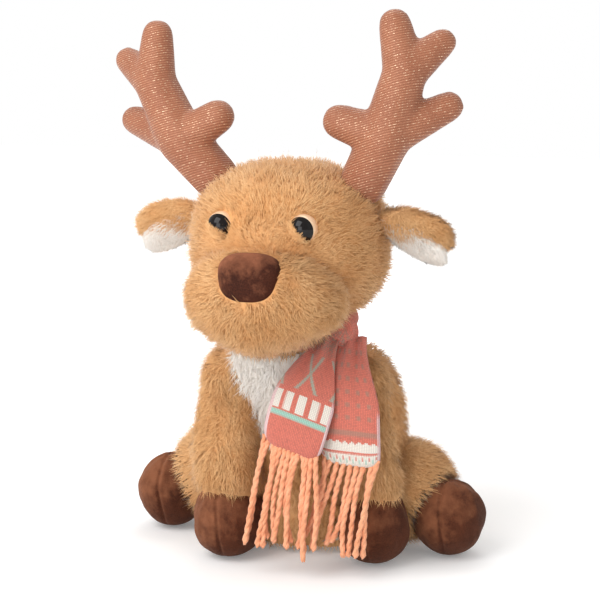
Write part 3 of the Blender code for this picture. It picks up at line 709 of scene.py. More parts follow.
def lay_cells(mesh, number):
    """Give each tuft its own cell in a square UV map, with its faces side by side."""
    across = math.ceil(math.sqrt(number))
    cell = 1.0 / across
    order = np.arange(number)
    corner = np.stack([order % across, order // across], axis=1) * cell
    lefts = [0.06 + 0.29 * k for k in range(3)]
    shape = []
    for left in lefts:
        shape += [(left, 0.2), (left + 0.27, 0.2), (left + 0.27, 0.55), (left, 0.55)]
    for left in lefts:
        shape += [(left, 0.58), (left + 0.27, 0.58), (left + 0.13, 0.93)]
    shape += [(0.06, 0.04), (0.5, 0.04), (0.28, 0.17)]
    places = corner[:, None, :] + np.array(shape)[None] * cell
    layer = mesh.uv_layers.new(name="OFBake")
    layer.data.foreach_set("uv", places.reshape(-1))


def tuft_mesh(name, places, along, normals):
    """One mesh of all the tufts, which takes the light mostly as the skin below it does."""
    number = len(places)
    base = np.arange(number)[:, None, None] * 7
    quads = (base + np.array(TUFT_SIDES)).reshape(number, -1)
    ends = (base + np.array(TUFT_ENDS)).reshape(number, -1)
    corners = np.concatenate([quads, ends], axis=1).ravel()
    sizes = np.tile([4] * len(TUFT_SIDES) + [3] * len(TUFT_ENDS), number)
    starts = np.concatenate([[0], np.cumsum(sizes)[:-1]])
    mesh = bpy.data.meshes.new(name)
    mesh.vertices.add(number * 7)
    mesh.vertices.foreach_set("co", places.reshape(-1))
    mesh.loops.add(len(corners))
    mesh.loops.foreach_set("vertex_index", corners.astype(np.int32))
    mesh.polygons.add(len(sizes))
    mesh.polygons.foreach_set("loop_start", starts.astype(np.int32))
    mesh.update(calc_edges=True)
    mark_along(mesh, along)
    lay_cells(mesh, number)
    mesh.shade_smooth()
    own = vertex_rows(mesh, "normal").astype(np.float32)
    soft = np.repeat(normals, 7, axis=0) * SKIN_LIGHT + own
    mesh.normals_split_custom_set_from_vertices(unit_rows(soft))
    return mesh


# %% Fur on a skin
SKIN_DEPTH = 3.2 * MM
PATCH_SIZE = 14.0 * MM
TONE_SIZE = 11.0 * MM


def add_fur(name, piece, comb, count, length, lean, seed, keep=None, shade=None, width=TUFT_WIDTH):
    """Stand tufts on a skin. comb is the way they lie, shade is painted shade in creases."""
    points, normals, random = skin_points(piece, count, keep, seed)
    number = len(points)
    way = pile_way(points, normals, comb, seed, random)
    patchy = 1.0 + 0.10 * waves(points, PATCH_SIZE, seed + 3)[:, :1]
    reach = length * (0.72 + 0.42 * random.random((number, 1))) * patchy
    places = tuft_places(points, normals, way, reach, lean, width)
    tone = np.clip(0.86 + 0.20 * waves(points, TONE_SIZE, seed + 4)[:, :1], 0.3, 1.0)
    along = np.array(TUFT_ALONG) * tone
    if shade is not None:
        along *= shade(points)[:, None]
    fur = bpy.data.objects.new(name, tuft_mesh(name, places, along, normals))
    bpy.context.scene.collection.objects.link(fur)
    print(name, "has", number, "tufts")
    return fur


def mark_skin(piece, value=SKIN_TONE):
    """Give a bare skin one value of along, between the painted root shade and the tip."""
    mark_along(piece.data, np.full(len(piece.data.vertices), value))


def furred_skin(piece, body, finish, node, fill, tone=SKIN_TONE):
    """Finish a skin that will carry pile: its tone, its body and the solid it stands for."""
    mark_skin(piece, tone)
    dress(piece, body, *finish, node)


def pile(piece, body, finish, comb, count, length, lean, seed, keep=None, shade=None):
    """Stand fur of one finish on a skin and let it ride with it."""
    fur = add_fur(f"{piece.name}_pile", piece, comb, count, length, lean, seed, keep, shade)
    dress(fur, body, *finish)
    return fur


def comb_from(origin, drop):
    """A pile that lies away from a point, and hangs a little."""
    def comb(points):
        return unit_rows(points - np.array(origin)) + np.array([0.0, 0.0, -drop])
    return comb


def comb_way(way):
    """A pile that lies one way everywhere."""
    def comb(points):
        return np.tile(np.array(way), (len(points), 1))
    return comb


# %% [markdown]
# The head is a rounded block with a broad stuffed muzzle. Under the chin the muzzle's skin draws
# back from the neck and rises on the scarf's side, so that the cloth has room there.

# %% Head and muzzle skins
HEAD_GAP = 0.3 * MM
CHIN_SLOPE = 0.35
SCARF_SIDE_X = 26.0 * MM
SCARF_ROOM_TOP = 138.0 * MM
SCARF_ROOM_FADE = 14.0 * MM
SCARF_ROOM_RISE = 4.0 * MM


def share_of(value, whole):
    """A value as a share of a whole, held between 0 and 1."""
    return min(1.0, max(0.0, value / whole))


def head_skin():
    """The head's rings, closed at the top and bottom."""
    def ring(height, width, depth):
        centre = (0.0, HEAD_Y, NECK_TOP + HEAD_GAP + height * (HEAD_TOP - NECK_TOP))
        return centre, width * HEAD_HALF_WIDTH, depth * HEAD_HALF_DEPTH

    piece = loft("head_plush", smooth_rings(HEAD_SHARES, 40, ring), (1, 0, 0), (0, 1, 0))
    fuse(piece, 2.0 * MM, 6)
    return piece


def muzzle_skin():
    """The muzzle's rings, from inside the head to the front of the snout."""
    def ring(along, width, height, rise):
        y = MUZZLE_ROOT_Y + along * (MUZZLE_TIP_Y - MUZZLE_ROOT_Y)
        centre = (0.0, y, MUZZLE_Z + rise * MUZZLE_RISE)
        return centre, width * MUZZLE_HALF_WIDTH, height * MUZZLE_HALF_HEIGHT

    piece = loft("muzzle_plush", smooth_rings(MUZZLE_SHARES, 32, ring), (1, 0, 0), (0, 0, 1))
    fuse(piece, 2.0 * MM, 6)
    for vertex in piece.data.vertices:
        below = NECK_TOP - vertex.co.z
        if below > 0.0:
            vertex.co.y = min(vertex.co.y, CHIN_BACK_Y - CHIN_SLOPE * below)
        by_scarf = share_of(vertex.co.x, SCARF_SIDE_X)
        low = share_of(SCARF_ROOM_TOP - vertex.co.z, SCARF_ROOM_FADE)
        vertex.co.z += SCARF_ROOM_RISE * by_scarf * low
    return piece


def lower_rim(piece, level, depth):
    """Bring the lower end of an inset skin back to its level, so that it meets its neighbour."""
    for vertex in piece.data.vertices:
        away = abs(vertex.co.z - level)
        if away < 3.0 * depth:
            vertex.co.z -= depth * min(1.0, (3.0 * depth - away) / (2.0 * depth))


head = head_skin()
inset(head, SKIN_DEPTH)
lower_rim(head, NECK_TOP, SKIN_DEPTH)
furred_skin(head, "head", TAN, "head_cover", 0.9)
muzzle = muzzle_skin()
inset(muzzle, SKIN_DEPTH)
furred_skin(muzzle, "head", TAN, "muzzle_cover", 0.9)
print("head skin has", len(head.data.polygons), "faces, muzzle skin", len(muzzle.data.polygons))

# %% [markdown]
# The pile is combed back and outward from the nose, over the cheeks and the brow, and down at the
# back of the head. It leaves out the eyes and the nose, the part of the head that lies in the
# muzzle, and the ring that the scarf covers.

# %% Where the fur of the face grows
EYE_CENTRE = (22.6 * MM, -61.4 * MM, 187.0 * MM)
EYE_GAP_SHIFT = (0.8 * MM, -4.0 * MM, 2.0 * MM)
EYE_GAP = 7.0 * MM
LID_GAP = 1.6 * MM
LIDS = {"left": (-0.70, -0.22, -0.68), "right": (-0.50, -0.22, -0.84)}
NOSE_CENTRE = (0.0, -78.5 * MM, 162.0 * MM)
NOSE_HALVES = (16.5 * MM, 10.0 * MM, 13.5 * MM)
NOSE_GAP = 0.98
MUZZLE_OVERLAP = 4.0 * MM
MUZZLE_FUR_Y = -46.0 * MM
COLLAR_TOP = 141.6 * MM
COLLAR_RADIUS = 36.0 * MM
FAR_AWAY = 9.0


def mirrored(place, sign):
    """A place on the toy's left, or the same place on its right where sign is -1."""
    return (sign * place[0], place[1], place[2])


def clear_of_face(points):
    """No tuft grows over the eyes or the nose."""
    free = np.ones(len(points), dtype=bool)
    for side, sign in SIDES.items():
        eye = np.array(mirrored(EYE_CENTRE, sign)) + np.array(EYE_GAP_SHIFT)
        on_lid = (points - eye) @ np.array(LIDS[side]) > LID_GAP
        free &= (np.linalg.norm(points - eye, axis=1) > EYE_GAP) | on_lid
    away = np.abs(points - np.array(NOSE_CENTRE)) / (np.array(NOSE_HALVES) * NOSE_GAP)
    return free & (np.sum(away**2.6, axis=1) > 1.0)


def muzzle_distance(points):
    """How far a point lies outside the muzzle, as a share of the muzzle's own size."""
    table = np.array(MUZZLE_SHARES)
    along = (points[:, 1] - MUZZLE_ROOT_Y) / (MUZZLE_TIP_Y - MUZZLE_ROOT_Y)
    wide = np.interp(along, table[:, 0], table[:, 1]) * MUZZLE_HALF_WIDTH - MUZZLE_OVERLAP
    tall = np.interp(along, table[:, 0], table[:, 2]) * MUZZLE_HALF_HEIGHT - MUZZLE_OVERLAP
    from_middle = np.hypot(points[:, 0] / wide, (points[:, 2] - MUZZLE_Z) / tall)
    return np.where(along > 0.0, from_middle, FAR_AWAY)


def muzzle_crease_shade(points):
    """Painted shade: the pile is painted darker where the cheek meets the muzzle."""
    return 0.30 + 0.70 * np.clip((muzzle_distance(points) - 1.0) / 0.30, 0.0, 1.0)


def head_points(points):
    """Fur on the head: clear of the face's pieces, the muzzle and the scarf."""
    in_muzzle = muzzle_distance(points) < 1.0
    from_neck = np.hypot(points[:, 0], points[:, 1] - NECK_Y)
    in_scarf = (points[:, 2] < COLLAR_TOP) & (from_neck < COLLAR_RADIUS)
    return clear_of_face(points) & ~in_muzzle & ~in_scarf


def muzzle_points(points):
    """Fur on the part of the muzzle that stands out of the head."""
    return clear_of_face(points) & (points[:, 1] < MUZZLE_FUR_Y)


FACE = comb_from((0.0, -70.0 * MM, 158.0 * MM), 0.25)
# The head's pile gets painted shade where the cheek meets the muzzle.
pile(
    head, "head", TAN, FACE, count=25200, length=6.2 * MM, lean=0.75, seed=11,
    keep=head_points, shade=muzzle_crease_shade
)
pile(
    muzzle, "head", TAN, FACE, count=25000, length=6.0 * MM, lean=0.75, seed=12,
    keep=muzzle_points
)

# %% [markdown]
# The eyes are glossy black domes with a coppery rim that catches the light. A dome is one sphere
# with two materials: the faces near its front are the pupil, and the ring round them is metal.

# %% Eyes
EYE_RADIUS = 7.5 * MM
EYE_FACING = (-0.08, -1.0, -0.15)
PUPIL_REACH = 66.0
BEAD = make_plain(
    "black_bead", 0.07, ((0.004, 0.003, 0.003), (0.009, 0.006, 0.006)), (40.0, 300.0),
    own={"Specular IOR Level": 0.26}
)
RIM = make_plain(
    "copper_rim", 0.30, ((0.95, 0.62, 0.38), (1.00, 0.80, 0.60)), (80.0, 1600.0),
    own={"Metallic": 0.35}
)


def make_eye(side, sign):
    """A dome with a pupil cap and a ring round it, turned towards the front."""
    shape = make_ball(64, 40, EYE_RADIUS)
    turn = Vector(EYE_FACING).normalized().to_track_quat("Z", "Y").to_matrix()
    pupil = math.cos(math.radians(PUPIL_REACH))
    ring = [face.calc_center_median().z / EYE_RADIUS < pupil for face in shape.faces]
    bmesh.ops.rotate(shape, verts=shape.verts, cent=(0, 0, 0), matrix=turn)
    bmesh.ops.translate(shape, verts=shape.verts, vec=Vector(mirrored(EYE_CENTRE, sign)))
    eye = finish_mesh(f"eye_bead_{side}", shape)
    dress(eye, "head", "black_bead", BEAD, f"eye_{side}")
    eye.data.materials.append(RIM)
    eye.data.polygons.foreach_set("material_index", np.array(ring, dtype=np.int32))
    print(eye.name, "has", sum(ring), "faces in its ring")


# %% [markdown]
# The plush folds up over the lower part of each eye. That fold is a cap cut from a slightly larger
# sphere, with short pile on it, and it is lit as the face round it is.

# %% Lids
LID_REACH = 68.0
LID_LIFT = 0.7 * MM
LID_TONE = 0.45
LID_PILE = 2.5 * MM
LID_TUFT_WIDTH = 0.46 * MM
FACE_LIGHT = (0.0, -0.94, 0.34)


def face_forward(piece):
    """Let a small piece take the light as the face round it does."""
    own = vertex_rows(piece.data, "normal").astype(np.float32)
    piece.data.normals_split_custom_set_from_vertices(unit_rows(own * 0.8 + np.array(FACE_LIGHT)))


def make_lid(side, sign):
    """The plush that folds up over the lower part of an eye, with short pile on it."""
    radius = EYE_RADIUS + LID_LIFT
    shape = make_ball(48, 32, radius)
    axis = Vector(LIDS[side]).normalized()
    rim = math.cos(math.radians(LID_REACH)) * radius
    outside = [vertex for vertex in shape.verts if vertex.co.dot(axis) < rim]
    bmesh.ops.delete(shape, geom=outside, context="VERTS")
    bmesh.ops.translate(shape, verts=shape.verts, vec=Vector(mirrored(EYE_CENTRE, sign)))
    lid = finish_mesh(f"lid_{side}", shape)
    thick = lid.modifiers.new("thickness", "SOLIDIFY")
    thick.thickness = LID_LIFT * 0.8
    apply_modifiers(lid)
    mark_skin(lid, LID_TONE)
    comb = comb_way((-axis[0], 0.0, -axis[2]))
    face_forward(lid)
    dress(lid, "head", *TAN, "head_cover")
    fur = add_fur(
        f"lid_{side}_pile", lid, comb, count=3000, length=LID_PILE, lean=0.85, seed=51,
        width=LID_TUFT_WIDTH
    )
    face_forward(fur)
    dress(fur, "head", *TAN, "head_cover")


for side, sign in SIDES.items():
    make_eye(side, sign)
    make_lid(side, sign)

# %% [markdown]
# The nose is a padded block of short velour, rounded on all sides and a little wider at its top. A
# sphere becomes such a block when its points are pushed out towards their corners.

# %% Nose
NOSE_POWERS = (2.7, 2.2, 2.7)
NOSE_ROUND = 2.5


def make_nose():
    """A padded rounded block, a little wider at its top."""
    shape = bmesh.new()
    bmesh.ops.create_icosphere(shape, subdivisions=5, radius=1.0)
    for vertex in shape.verts:
        powers = sum(abs(value) ** power for value, power in zip(vertex.co, NOSE_POWERS))
        x, y, z = (value * powers ** (-1.0 / NOSE_ROUND) for value in vertex.co)
        wide = 1.03 + 0.06 * z
        vertex.co = Vector((x * NOSE_HALVES[0] * wide, y * NOSE_HALVES[1], z * NOSE_HALVES[2]))
        vertex.co += Vector(NOSE_CENTRE)
    nose = finish_mesh("nose_pad", shape)
    dress(nose, "head", "brown_velour", NOSE_CLOTH, "nose")
    width = 2.0 * max(vertex.co.x for vertex in nose.data.vertices)
    print("nose is", round(width / MM, 1), "mm wide")


make_nose()

# %% [markdown]
# The trunk widens towards the seat. Its skin is a loft as well, with the white panel set into the
# chest as fur of another colour, and the pile hangs down over it. Where the left front leg swings
# back, the skin is dented below the solid's surface.

# %% Trunk and chest skins
BIB_TOP = 114.0 * MM
BIB_BOTTOM = 60.0 * MM
BIB_HALF_WIDTH = 28.0 * MM
BIB_FRONT_Y = -14.0 * MM
CHEST_RISE = 0.4 * MM
CHEST_THICK = 1.2 * MM
LEG_ROOM_LOW = (-1.0 * MM, -60.0 * MM, -9.0 * MM)
LEG_ROOM_HIGH = (66.0 * MM, -2.0 * MM, 66.0 * MM)
LEG_ROOM_DEPTH = 2.0 * MM
LEG_ROOM_FADE = 8.0 * MM


def trunk_skin():
    """The trunk's rings with its neck."""
    def ring(height, width, depth, shift):
        centre = (0.0, BODY_SEAT_Y - shift * BODY_LEAN, height * BODY_TOP)
        return centre, width * BODY_HALF_WIDTH, depth * BODY_HALF_DEPTH

    rings = smooth_rings(BODY_SHARES, 44, ring)
    for level in (BODY_TOP + 0.5 * MM, NECK_TOP + 0.9 * SKIN_DEPTH):
        rings.append(((0.0, NECK_Y, level), NECK_RADIUS, NECK_RADIUS))
    piece = loft("trunk_plush", rings, (1, 0, 0), (0, 1, 0))
    fuse(piece, 2.2 * MM, 5)
    return piece


def make_room(piece, nodes, low, high, depth, fade):
    """Dent a skin below the solids' surface inside a box. The dent fades at the box's edge."""
    shape = bmesh.new()
    for node in nodes:
        shape.from_mesh(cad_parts[node].data)
    middle = Vector((0.0, 0.0, BODY_TOP / 2.0))
    lining = []
    for face in shape.faces:
        if face.normal.dot(face.calc_center_median() - middle) < 0.0:
            lining.append(face)
    bmesh.ops.delete(shape, geom=lining, context="FACES")
    surface = BVHTree.FromBMesh(shape)
    shape.free()
    moved = 0
    for vertex in piece.data.vertices:
        edge = min(min(value - a, b - value) for a, value, b in zip(low, vertex.co, high))
        if edge <= 0.0:
            continue
        near, normal, _, _ = surface.find_nearest(vertex.co)
        if (vertex.co - near).dot(normal) > -depth:
            vertex.co = vertex.co.lerp(near - normal * depth, min(1.0, edge / fade))
            moved += 1
    print(piece.name, "is dented at", moved, "points")


def on_bib(points):
    """Inside the heart-shaped panel on the chest."""
    rise = (points[:, 2] - BIB_BOTTOM) / (BIB_TOP - BIB_BOTTOM)
    half = BIB_HALF_WIDTH * np.sqrt(np.clip(rise, 0.0, 1.0)) * (1.0 + 0.12 * np.sin(rise * 9.0))
    level = (rise > 0.0) & (rise < 1.04)
    return (points[:, 1] < BIB_FRONT_Y) & level & (np.abs(points[:, 0]) < half)


def chest_skin(trunk):
    """The trunk's faces that lie on the panel, as a backed skin of their own."""
    shape = bmesh.new()
    shape.from_mesh(trunk.data)
    inside = on_bib(np.array([tuple(face.calc_center_median()) for face in shape.faces]))
    drop = [face for face, kept in zip(shape.faces, inside) if not kept]
    bmesh.ops.delete(shape, geom=drop, context="FACES")
    for vertex in shape.verts:
        vertex.co += vertex.normal * CHEST_RISE
    chest = finish_mesh("chest_plush", shape)
    thick = chest.modifiers.new("backing", "SOLIDIFY")
    thick.thickness = CHEST_THICK
    apply_modifiers(chest)
    return chest


trunk = trunk_skin()
inset(trunk, SKIN_DEPTH)
make_room(
    trunk, ["body_cover", "chest_bib"], LEG_ROOM_LOW, LEG_ROOM_HIGH, LEG_ROOM_DEPTH, LEG_ROOM_FADE
)
furred_skin(trunk, "torso", TAN, "body_cover", 0.8)
chest = chest_skin(trunk)
dress(chest, "torso", *WHITE, "chest_bib")

# %% Fur of the trunk and chest
SEAT_BARE = 4.0 * MM
DOWN = comb_way((0.0, -0.1, -1.0))


def trunk_points(points):
    """Tan fur on the trunk: not on the panel, the seat's underside or under the scarf."""
    low = points[:, 2] < SEAT_BARE
    neck = points[:, 2] > BODY_TOP + 1.0 * MM
    return ~on_bib(points) & ~low & ~neck


pile(
    trunk, "torso", TAN, DOWN, count=26800, length=6.4 * MM, lean=0.9, seed=21,
    keep=trunk_points
)
white_pile = pile(
    trunk, "torso", WHITE, DOWN, count=64000, length=6.6 * MM, lean=0.9, seed=22, keep=on_bib
)
white_pile.name = "chest_pile"

# %% [markdown]
# Out of sight, loose polyester fibre fills the covers, a cloth pouch of beans weighs the seat, and
# a plastic washer holds each eye from behind. The fibre is soft, so it is a relaxed copy of its
# solid, drawn in a little to lie clear of the skins. The washers' solids already have the right
# shape, so they only get their plastic.

# %% Filling, pouch and washers
FILLING_ROOM = 3.0 * MM
POUCH_ROOM = 0.5 * MM
FIBRE = make_plain(
    "polyester_fibre", 0.9, ((0.70, 0.69, 0.66), (0.86, 0.85, 0.82)), (60.0, 700.0),
    bump=(0.4, 0.5 * MM)
)
POUCH = make_plain(
    "pouch_weave", 0.8, ((0.55, 0.52, 0.46), (0.68, 0.65, 0.58)), (40.0, 1800.0),
    bump=(0.4, 0.15 * MM)
)
PLASTIC = make_plain(
    "washer_plastic", 0.4, ((0.70, 0.70, 0.68), (0.78, 0.78, 0.76)), (90.0, 2400.0),
    bump=(0.4, 0.03 * MM)
)
for name, node, body, slot, material, depth in (
    ("body_filling", "body_stuffing", "torso", "polyester_filling", FIBRE, FILLING_ROOM),
    ("head_filling", "head_stuffing", "head", "polyester_filling", FIBRE, FILLING_ROOM),
    ("seat_pouch", "bean_pouch", "torso", "pouch_cloth", POUCH, POUCH_ROOM),
):
    inside = copy_of([node], name)
    fuse(inside, 2.0 * MM, 6)
    inset(inside, depth)
    dress(inside, body, slot, material, node)
    print(name, "has", len(inside.data.polygons), "faces")
for side in SIDES:
    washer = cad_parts[f"eye_washer_{side}"].data
    for index in range(len(washer.materials)):
        washer.materials[index] = PLASTIC

# %% [markdown]
# Legs, haunches and tail are pillow-like forms. Their solids already have the right shape, so each
# skin is a copy that is melted into an even mesh, drawn in, and covered with pile.

# %% Furred limbs
LIMB_PILE = 6.2 * MM
HEM_OVERLAP = 3.0 * MM
TUCK_DEPTH = 10.0 * MM
TUCK_SHARE = 0.20


def tuck_in(piece, level):
    """Draw a leg's lower end in towards its middle, so that it goes inside the hoof."""
    low = [vertex for vertex in piece.data.vertices if vertex.co.z < level]
    middle = sum((vertex.co for vertex in low), Vector()) / len(low)
    for vertex in low:
        share = TUCK_SHARE * min(1.0, (level - vertex.co.z) / TUCK_DEPTH)
        vertex.co.x += (middle.x - vertex.co.x) * share
        vertex.co.y += (middle.y - vertex.co.y) * share


def furred_limb(name, node, body, comb, count, seed, hem=0.0):
    """A limb's skin with its pile, which starts above its hem."""
    limb = copy_of([node], name)
    fuse(limb, 1.8 * MM, 8)
    inset(limb, SKIN_DEPTH)
    if hem > 0.0:
        tuck_in(limb, hem + HEM_OVERLAP)

    def above_hem(points):
        return points[:, 2] > hem

    furred_skin(limb, body, TAN, node, 0.8)
    pile(limb, body, TAN, comb, count, LIMB_PILE, lean=0.85, seed=seed, keep=above_hem)


# %% [markdown]
# A hoof is velour over loose stuffing. Its surface is melted smooth, split finer, and then moved in
# code: soft lumps, pleats where it is gathered at the top, and the line of a seam up its front.

# %% Velour hooves
# The hooves' lumps: size, height and seed.
HOOF_LUMPS = ((19.0 * MM, 0.75 * MM, 91), (7.0 * MM, 0.16 * MM, 92))
PLEATS = 11.0
PLEAT_HEIGHT = 0.55 * MM
PLEAT_START = 0.55
SEAM_SWAY = 1.5 * MM
SEAM_SIZE = 1.1 * MM
HOOF_INSET = 0.5 * MM
STRETCH_FROM = 16.0 * MM


def velour_hoof(name, node, body, stretch=1.0):
    """A hoof of short velour, uneven from its stuffing, with a sewn seam up its front."""
    hoof = copy_of([node], name)
    fuse(hoof, 1.6 * MM, 10)
    refine(hoof)
    places = vertex_rows(hoof.data, "co")
    normals = vertex_rows(hoof.data, "normal")
    low, high = places.min(axis=0), places.max(axis=0)
    middle = (low + high) / 2.0
    rise = (places[:, 2] - low[2]) / (high[2] - low[2])
    lumps = sum(waves(places, size, seed)[:, 0] * height for size, height, seed in HOOF_LUMPS)
    turn = np.arctan2(places[:, 1] - middle[1], places[:, 0] - middle[0])
    pleats = np.sin(turn * PLEATS) * PLEAT_HEIGHT * np.clip(rise - PLEAT_START, 0.0, 1.0)
    from_seam = places[:, 0] - middle[0] - SEAM_SWAY * np.sin(rise * 5.0)
    seam = -SEAM_SIZE * np.exp(-((from_seam / SEAM_SIZE) ** 2)) * (normals[:, 1] < 0.1)
    push = (lumps + pleats + seam) * np.clip(rise * 5.0, 0.0, 1.0)
    places += normals * (push - HOOF_INSET)[:, None]
    places[:, 2] += np.maximum(places[:, 2] - STRETCH_FROM, 0.0) * (stretch - 1.0)
    hoof.data.vertices.foreach_set("co", places.reshape(-1))
    hoof.data.update()
    hoof.data.shade_smooth()
    dress(hoof, body, "brown_velour", VELOUR, node)
    print(name, "reaches", round(places[:, 2].max() / MM, 1), "mm high")


# %% Legs, haunches and tail
FRONT_HEM = 40.5 * MM
FRONT_STRETCH = 1.30
HAUNCH_COMB = comb_from((0.0, 0.0, 60.0 * MM), 0.4)
TAIL_COMB = comb_from((0.0, 30.0 * MM, 50.0 * MM), 0.2)
for number, side in enumerate(SIDES):
    leg = f"front_leg_{side}"
    furred_limb(f"front_leg_plush_{side}", leg, leg, DOWN, 15000, 31 + number, FRONT_HEM)
    velour_hoof(f"front_hoof_pad_{side}", f"front_hoof_{side}", leg, FRONT_STRETCH)
    haunch = f"rear_leg_{side}"
    furred_limb(f"haunch_plush_{side}", haunch, haunch, HAUNCH_COMB, 13000, 41 + number)
    velour_hoof(f"rear_hoof_pad_{side}", f"rear_hoof_{side}", haunch)
furred_limb("tail_plush", "tail", "tail", TAIL_COMB, 5000, 51)

# %% [markdown]
# The antlers are stuffed with fibre, so they are soft tubes that swell between their forks. Their
# cloth is a fine rib knit with a metallic thread: dark copper, with glints along the ribs, and with
# painted shade in the grooves between them.

# %% Antlers
KNIT_TONES = ((0.340, 0.130, 0.070), (0.520, 0.230, 0.130))
GROOVE_SHADE_COLOUR = (0.300, 0.105, 0.055)
GLINT_COLOUR = (0.95, 0.68, 0.46)
RIB_LEAN = (0.12, 0.28, 0.0)
ANTLER_SWELL = 0.9 * MM


def make_glitter_knit():
    """Fine diagonal ribs with glints of metallic thread, and painted shade in their grooves."""
    material, shader = start_material("glitter_knit", 0.5, 0.2, 0.4)
    tree = material.node_tree
    tone = place_tone(tree, *KNIT_TONES, 70.0, 1500.0)
    place = add_node(tree, "ShaderNodeTexCoord").outputs["Object"]
    lean = add_node(tree, "ShaderNodeMapping", {"Vector": place, "Rotation": RIB_LEAN}).outputs
    wave = {"Vector": lean["Vector"], "Scale": 250.0, "Distortion": 0.5, "Detail": 1.0}
    ribs = add_node(tree, "ShaderNodeTexWave", wave, wave_type="BANDS", bands_direction="Z")
    rib = ribs.outputs["Fac"]
    specks = add_node(tree, "ShaderNodeTexVoronoi", {"Vector": place, "Scale": 1500.0})
    pick = add_node(tree, "ShaderNodeSeparateColor", {"Color": specks.outputs["Color"]})
    glint = map_range(tree, calc(tree, "MULTIPLY", pick.outputs["Red"], rib), 0.74, 0.95)
    # Painted shade: the grooves between the ribs take a darker colour.
    cloth = blend_colour(tree, GROOVE_SHADE_COLOUR, tone["Colour"], rib)
    feed(shader, "Base Color", blend_colour(tree, cloth, GLINT_COLOUR, glint))
    feed(shader, "Metallic", calc(tree, "MULTIPLY", glint, 0.7))
    add_bump(shader, rib, 0.6, 0.35 * MM)
    return material


GLITTER = make_glitter_knit()
for side in SIDES:
    antler = copy_of([f"antler_{side}"], f"antler_plush_{side}")
    fuse(antler, 1.5 * MM, 14)
    inset(antler, -ANTLER_SWELL)
    refine(antler)
    antler.data.shade_smooth()
    dress(antler, f"antler_{side}", "glitter_knit", GLITTER, f"antler_{side}")
    print(antler.name, "has", len(antler.data.polygons), "faces")

# %% [markdown]
# Each ear is folded along its length: a fur back that hoods a white lining. Both are leaves of the
# same kind, and the lining is a thin one that hangs lower.

# %% Ears
EAR_ROOT = (50.0 * MM, -19.5 * MM, 187.0 * MM)
EAR_LENGTH = 42.0 * MM
EAR_HALF_HEIGHT = 13.5 * MM
EAR_HALF_THICK = 9.0 * MM
EAR_DROP = 7.0 * MM
EAR_FOLD = math.radians(34.0)
LINING_HALF_THICK = 3.4 * MM
LINING_DOWN = 0.72
# Each ring of an ear: its way along, half height and half thickness, as shares.
EAR_SHARES = (
    (0.00, 0.46, 0.54),
    (0.16, 0.74, 0.80),
    (0.42, 1.00, 1.00),
    (0.66, 1.00, 0.98),
    (0.86, 0.82, 0.84),
    (0.97, 0.52, 0.56),
    (1.00, 0.26, 0.28),
)
EAR_LAYERS = (
    {
        "name": "ear_plush", "node": "ear_back", "finish": TAN, "fill": 0.6, "tone": SKIN_TONE,
        "size": (EAR_LENGTH - 3.0 * MM, EAR_HALF_HEIGHT - 2.5 * MM, EAR_HALF_THICK - 3.0 * MM),
        "down": 0.0, "count": 8000, "length": 4.2 * MM, "seed": 61,
    },
    {
        "name": "ear_white", "node": "ear_lining", "finish": WHITE, "fill": 0.5, "tone": 0.7,
        "size": (EAR_LENGTH - 5.0 * MM, EAR_HALF_HEIGHT - 2.0 * MM, LINING_HALF_THICK),
        "down": LINING_DOWN * EAR_HALF_HEIGHT, "count": 6000, "length": 2.6 * MM, "seed": 71,
    },
)


def ear_leaf(name, sign, length, half_height, half_thick, down):
    """A leaf that points outward, droops, and leans its upper edge forward."""
    root = Vector(mirrored(EAR_ROOT, sign))

    def ring(along, height, thick):
        part = max(along, 0.0)
        reach = Vector((sign * along * length, 0.0, -part**1.5 * EAR_DROP - down * part**0.6))
        return root + reach, height * half_height, thick * half_thick

    up = Vector((0.0, -math.sin(EAR_FOLD), math.cos(EAR_FOLD)))
    rings = smooth_rings(EAR_SHARES, 30, ring)
    leaf = loft(name, rings, up, up.cross(Vector((1, 0, 0))), 40)
    fuse(leaf, 1.4 * MM, 4)
    return leaf


for number, (side, sign) in enumerate(SIDES.items()):
    outward = comb_from((sign * 30.0 * MM, -19.5 * MM, 205.0 * MM), 0.1)
    for ear in EAR_LAYERS:
        leaf = ear_leaf(f"{ear['name']}_{side}", sign, *ear["size"], ear["down"])
        node = f"{ear['node']}_{side}"
        furred_skin(leaf, f"ear_{side}", ear["finish"], node, ear["fill"], ear["tone"])
        pile(
            leaf, f"ear_{side}", ear["finish"], outward, count=ear["count"],
            length=ear["length"], lean=0.9, seed=ear["seed"] + number
        )

# %% [markdown]
# The scarf is a flat double knit. Its pattern follows the stitches: every place on the cloth knows
# how far it lies across the strip and up from the hem, in millimetres, and those two numbers are
# rounded to whole stitches before the stripes, bars and crosses are looked up. So the edges of the
# pattern step from stitch to stitch, as they do in real knitting.

# %% Node groups for the scarf's pattern
WALE = 0.95
COURSE = 0.85


def make_band_group():
    """1 where a value lies within a half width of a centre, and 0 outside, with a soft edge."""
    inputs = (
        ("Value", "Float", 0.0), ("Centre", "Float", 0.0), ("Half", "Float", 1.0),
        ("Soft", "Float", 0.3),
    )
    group = start_group("band", inputs, (("Mask", "Float"),))
    entry = add_node(group, "NodeGroupInput").outputs
    away = calc(group, "ABSOLUTE", calc(group, "SUBTRACT", entry["Value"], entry["Centre"]))
    over = calc(group, "SUBTRACT", away, entry["Half"])
    mask = calc(group, "SUBTRACT", 0.5, calc(group, "DIVIDE", over, entry["Soft"]))
    inside = calc(group, "MINIMUM", calc(group, "MAXIMUM", mask, 0.0), 1.0)
    add_node(group, "NodeGroupOutput", {"Mask": inside})
    return group


